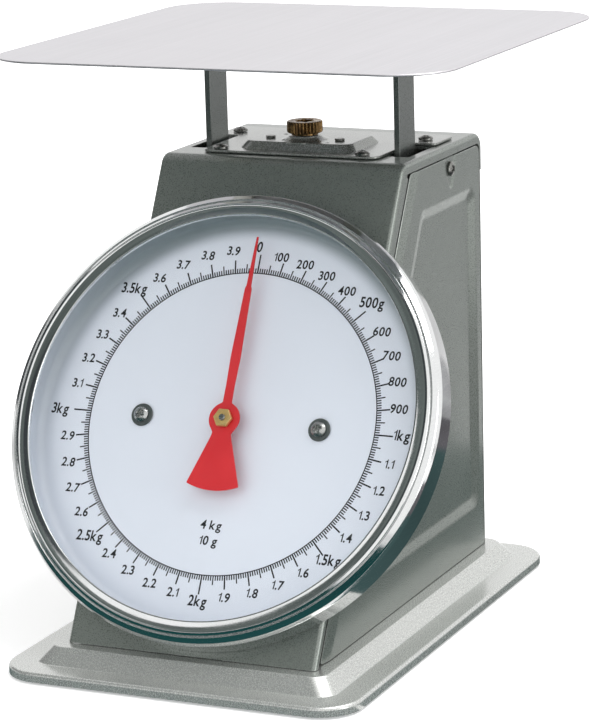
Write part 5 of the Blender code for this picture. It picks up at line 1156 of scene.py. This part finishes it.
# a flat disc whose rim has two small quarter circles, turned round the dial's axis
def buildLens():
    d = lensDisc
    corners = [arcPoints((d["edge"], d["front"] - d["round"]), d["round"], 90, 0, 4),
               arcPoints((d["edge"], d["back"] + d["round"]), d["round"], 0, -90, 4)]
    glass = np.vstack([[(0.0, d["front"]), (d["edge"] - 0.05, d["front"])], *corners, [(0.0, d["back"])]])
    finishPiece("clear_disc", [turnedShell(glass, 192)], clearLens, "root", "lens", toDial,
                sharp=30)


buildBezel()
buildLens()

pointerShape = {"tip": 89.0, "tail": 34.5, "hub": 7.8, "low": 8.8, "high": 9.6, "blend": 2.2, "merge": 13.0,
                "blade": [(0.0, 2.3), (6.0, 2.3), (16.0, 2.15), (30.0, 2.5), (45.0, 2.15), (63.6, 1.7),
                          (64.6, 1.2), (72.0, 0.95), (89.0, 0.45)],
                "fan": [(-34.5, 14.2), (-31.5, 13.2), (-9.5, 5.4), (-8.0, 5.0), (0.0, 3.0)],
                "fanHalf": 13.2, "boss": [(1.7, 5.8), (4.7, 5.8), (4.7, 9.0), (1.7, 9.0)], "nut": 4.7,
                "nutLow": 9.9, "nutHigh": 12.1, "nutBore": 1.65, "shaft": 1.5, "shaftTop": 12.8,
                "shaftEnd": -48.7}


# half width along the hand, blade or fan blended with the hub: hub + (narrow - hub) g + blend g (1 - g)
def handLine():
    d = pointerShape
    stretches = (d["tip"], 12, 90), (11.7, -12, 90), (-12.5, -31.0, 24)
    y = np.concatenate([np.linspace(*stretch) for stretch in stretches])
    blade, fan = np.array(d["blade"]), np.array(d["fan"])
    narrow = np.where(y > 0, np.interp(y, blade[:, 0], blade[:, 1]), np.interp(y, fan[:, 0], fan[:, 1]))
    hub = np.sqrt(np.maximum(d["hub"] ** 2 - y ** 2, 0))
    gap = np.clip(0.5 + 0.5 * (narrow - hub) / d["blend"], 0, 1)
    half = hub + (narrow - hub) * gap + d["blend"] * gap * (1 - gap)
    half = np.where(np.abs(y) > d["merge"], narrow, half)
    opening = math.asin(d["fanHalf"] / d["tail"])
    arc = np.linspace(opening, -opening, 40)
    bottom = np.stack([d["tail"] * np.sin(arc), -d["tail"] * np.cos(arc)], 1)
    right = np.stack([half, y], 1)
    return np.vstack([right, bottom, (right * (-1, 1))[::-1]])[::-1]


# the hand as a thin slab over its boss, a hexagon nut with a bore, and the round shaft
def buildPointer():
    d = pointerShape
    shells = [slabShell(handLine(), d["low"], d["high"], 0.12, 2), turnedShell(d["boss"], 48, closed=True)]
    finishPiece("red_hand", shells, pointerRed, "pointer_shaft", "pointer", toDial, sharp=35)
    nut = slabShell(roundedLine(circleLine(d["nut"], 6), [0.5] * 6, 3), d["nutLow"], d["nutHigh"], 0.4, 3)
    finishPiece("hand_nut", [nut], plainBrass, "pointer_shaft", "pointer_nut", toDial,
                carving=[cutHole(d["nutBore"], 32, (0.0, 0.0), 8, 14)])
    arc = arcPoints((d["shaft"] - 0.3, d["shaftTop"] - 0.3), 0.3, 90, 0, 4)
    shaft = np.vstack([[(0.0, d["shaftTop"])], arc, [(d["shaft"], d["shaftEnd"]), (0.0, d["shaftEnd"])]])
    finishPiece("hand_shaft", [turnedShell(shaft, 40)], brightSteel, "pointer_shaft", "spindle",
                toDial)


buildPointer()
print("bezel, lens and pointer built")

springWind = {"x": 30.0, "wire": 0.8, "coil": 5.0, "eye": 3.0, "eyeTurn": 285.0, "curls": 13, "lead": 4.0,
              "top": 198.3, "bottom": 122.8}


# the wire's centre line: eye, lead, helix (coil cos t, coil sin t, falling), then the first two turned over
def springLine():
    d = springWind
    length = d["top"] - d["bottom"]
    eyeTurn = np.radians(-d["eyeTurn"] * (1 - np.linspace(0, 1, 24, endpoint=False)))
    eye = np.stack([0 * eyeTurn, d["eye"] * np.sin(eyeTurn), -d["eye"] - d["eye"] * np.cos(eyeTurn)], 1)
    share = np.linspace(0, 1, 12, endpoint=False)
    reach, angle = d["coil"] * np.sin(np.pi / 2 * share), np.pi / 2 + np.pi * share
    fallen = -2 * d["eye"] - d["lead"] * eased(share, 0, 1)
    lead = np.stack([reach * np.cos(angle), reach * np.sin(angle), fallen], 1)
    wind = np.linspace(0, 1, d["curls"] * 24 + 1)
    turn = 1.5 * np.pi + 2 * np.pi * d["curls"] * wind
    fall = length - 4 * d["eye"] - 2 * d["lead"]
    depth = -2 * d["eye"] - d["lead"] - fall * wind
    coil = np.stack([d["coil"] * np.cos(turn), d["coil"] * np.sin(turn), depth], 1)
    above = np.concatenate([eye, lead])
    return np.concatenate([above, coil, above[::-1] * (-1, 1, -1) - (0.0, 0.0, length)])


# a round section carried along a line; its frame is turned on from point to point so it never twists
def tubeShell(line, radius, sides=10):
    along = np.gradient(line, axis=0)
    along /= np.linalg.norm(along, axis=1)[:, None]
    carried = np.cross(along[0], (0.3, 0.2, 1.0))
    first = np.zeros_like(along)
    for index, direction in enumerate(along):
        carried = carried - direction * (carried @ direction)
        carried /= np.linalg.norm(carried)
        first[index] = carried
    second = np.cross(along, first)
    turn = np.linspace(0, 2 * np.pi, sides, endpoint=False)[None, :, None]
    section = first[:, None] * np.cos(turn) + second[:, None] * np.sin(turn)
    return ringShell(line[:, None] + radius * section)


for word, side in sides:
    wire = tubeShell(springLine() + (side * springWind["x"], knobY, springWind["top"]), springWind["wire"])
    finishPiece("coil_" + word, [wire], brightSteel, "spring_bar", "spring_" + word, sharp=60)
print("springs built")

studio = {"floorTone": (0.86, 0.86, 0.86, 1), "floorReach": 6.0, "nearLift": 0.42, "farLift": 1.0,
          "nearReach": 0.14, "farReach": 0.27, "fillLight": 0.64, "cardLift": 0.0012}


# white where the camera sees it away from the object, plain paper where it is near
def buildFloor():
    d = studio
    mesh = bpy.data.meshes.new("floor")
    reach = d["floorReach"]
    mesh.from_pydata([(-reach, -reach, 0), (reach, -reach, 0), (reach, reach, 0), (-reach, reach, 0)], [],
                     [(0, 1, 2, 3)])
    floor = addObject("floor", mesh)
    made, tree, shader, coords = newFinish("floorPaper")
    grain = spread(tree, noise(tree, coords, 600.0, 2.0), 0.3, 0.7, 0.99, 1.01)
    path = put(tree, "LightPath").outputs
    seen = calc(tree, "MAXIMUM", path["Is Camera Ray"], path["Is Transmission Ray"])
    away = put(tree, "VectorMath", {0: coords}, operation="LENGTH").outputs["Value"]
    lift = spread(tree, away, d["nearReach"], d["farReach"], d["nearLift"], d["farLift"], True)
    fill(tree, shader, {"Base Color": tinted(tree, d["floorTone"], grain), "Roughness": 0.9,
                        "Specular IOR Level": 0.1, "Emission Color": (1, 1, 1, 1),
                        "Emission Strength": times(tree, seen, lift)})
    mesh.materials.append(made)


# white behind the object and in its reflections, an even level for what lights it
def buildRoom():
    world = bpy.data.worlds.new("room")
    bpy.context.scene.world = world
    world.use_nodes = True
    tree = world.node_tree
    path = put(tree, "LightPath").outputs
    height = put(tree, "SeparateXYZ", {0: put(tree, "TexCoord").outputs["Generated"]}).outputs[2]
    even = spread(tree, height, -0.2, 0.9, studio["fillLight"] * 0.9, studio["fillLight"] * 1.05)
    seen = calc(tree, "MAXIMUM", path["Is Camera Ray"], path["Is Transmission Ray"])
    white = calc(tree, "MAXIMUM", seen, path["Is Glossy Ray"])
    level = plus(tree, times(tree, even, calc(tree, "SUBTRACT", 1.0, white)), white)
    fill(tree, tree.nodes["Background"], {"Strength": level, "Color": (1, 1, 1, 1)})


# dark cards beside the set, as for any polished object: only reflections see them
def addCard(name, corners, colour):
    mesh = bpy.data.meshes.new(name)
    mesh.from_pydata(corners, [], [tuple(range(len(corners)))])
    card = addObject(name, mesh)
    made, tree, shader, coords = newFinish(name)
    grain = spread(tree, noise(tree, coords, 3.0, 1.0), 0.3, 0.7, 0.7, 1.3)
    fill(tree, shader, {"Base Color": (0, 0, 0, 1), "Specular IOR Level": 0.0, "Emission Strength": 1.0,
                        "Emission Color": tinted(tree, (*colour, 1), grain)})
    mesh.materials.append(made)
    card.visible_camera = card.visible_diffuse = card.visible_shadow = card.visible_transmission = False


# a card square to a direction from the object, at a distance, with half sizes along and up
def cardAt(name, direction, distance, halfWide, halfHigh, colour):
    away = Vector(direction).normalized()
    across = Vector((-away.y, away.x, 0)).normalized()
    upward = away.cross(across) * -1
    middle = away * distance + Vector((0, 0, 0.12))
    signs = (-1, -1), (1, -1), (1, 1), (-1, 1)
    corners = [middle + across * halfWide * a + upward * halfHigh * b for a, b in signs]
    addCard(name, [tuple(corner) for corner in corners], colour)


def cardOnFloor(name, outline, colour):
    addCard(name, [(x, y, studio["cardLift"]) for x, y in outline], colour)


def addSoftbox(name, place, aim, size, power, mirrored):
    lamp = bpy.data.lights.new(name, "AREA")
    lamp.shape, lamp.energy, lamp.color = "RECTANGLE", power, (1, 1, 1)
    lamp.size, lamp.size_y = size
    holder = addObject(name, lamp)
    holder.location = place
    holder.rotation_euler = (Vector(aim) - Vector(place)).to_track_quat("-Z", "Y").to_euler()
    holder.visible_glossy = mirrored


cameraView = {"azimuth": 24.5126, "elevation": 13.3139, "roll": -1.5850, "distance": 1.569,
              "target": (-0.010815, 0.035334, 0.117410), "focalPixels": 3158.714, "imageHeight": 725,
              "sensor": 36.0}


def placeCamera():
    d = cameraView
    azimuth, elevation, roll = (math.radians(d[key]) for key in ("azimuth", "elevation", "roll"))
    level = math.cos(elevation)
    back = Vector((math.sin(azimuth) * level, -math.cos(azimuth) * level, math.sin(elevation)))
    right = Vector((math.cos(azimuth), math.sin(azimuth), 0))
    upward = back.cross(right)
    rolledRight = right * math.cos(roll) + upward * math.sin(roll)
    rolledUp = upward * math.cos(roll) - right * math.sin(roll)
    lens = bpy.data.cameras.new("camera")
    lens.sensor_width = d["sensor"]
    lens.lens = d["focalPixels"] / d["imageHeight"] * d["sensor"]
    lens.clip_end = 50.0
    camera = addObject("camera", lens)
    place = Vector(d["target"]) + back * d["distance"]
    columns = Matrix((rolledRight, rolledUp, back)).transposed()
    camera.matrix_world = Matrix.Translation(place) @ columns.to_4x4()
    bpy.context.scene.camera = camera


buildFloor()
buildRoom()
cardAt("leftCard", (-0.85, -0.20, 0.28), 1.2, 0.85, 0.33, (0.05, 0.055, 0.06))
cardAt("upperCard", (-0.5, -0.45, 0.72), 1.3, 0.95, 0.62, (0.12, 0.14, 0.135))
cardOnFloor("floorFrontCard", [(-0.9, -0.125), (0.085, -0.125), (0.55, -0.125), (0.9, -1.3), (-1.2, -1.3)],
            (0.012, 0.055, 0.055))
cardOnFloor("floorNearCard", [(0.085, -0.12), (0.30, -0.12), (0.30, 0.22), (0.16, 0.32), (0.085, 0.32)],
            (0.05, 0.09, 0.09))
addCard("frontCard", [(-1.7, -1.35, 0.0), (0.35, -1.35, 0.0), (0.35, -1.35, 0.30), (-1.7, -1.35, 0.30)],
        (0.02, 0.05, 0.05))
cardOnFloor("floorRightCard", [(0.16, 0.32), (0.30, 0.22), (0.30, -0.12), (0.55, -0.12), (0.62, 0.50),
                               (0.22, 0.50)], (0.12, 0.115, 0.125))
cardOnFloor("floorFarCard", [(0.22, 0.50), (0.62, 0.50), (0.9, 1.9), (0.3, 1.9)], (0.40, 0.40, 0.41))
addSoftbox("overhead", (0.55, 0.2, 1.6), (0, 0.03, 0.15), (1.2, 0.9), 17.0, True)
addSoftbox("leftFront", (-0.6, -1.6, 1.1), (0, 0, 0.12), (2.2, 2.2), 14.5, False)
addSoftbox("rightSide", (1.6, -0.3, 0.5), (0, 0, 0.12), (0.5, 1.0), 4.7, True)
placeCamera()
bpy.context.scene.view_settings.view_transform = "Standard"
print("studio set")
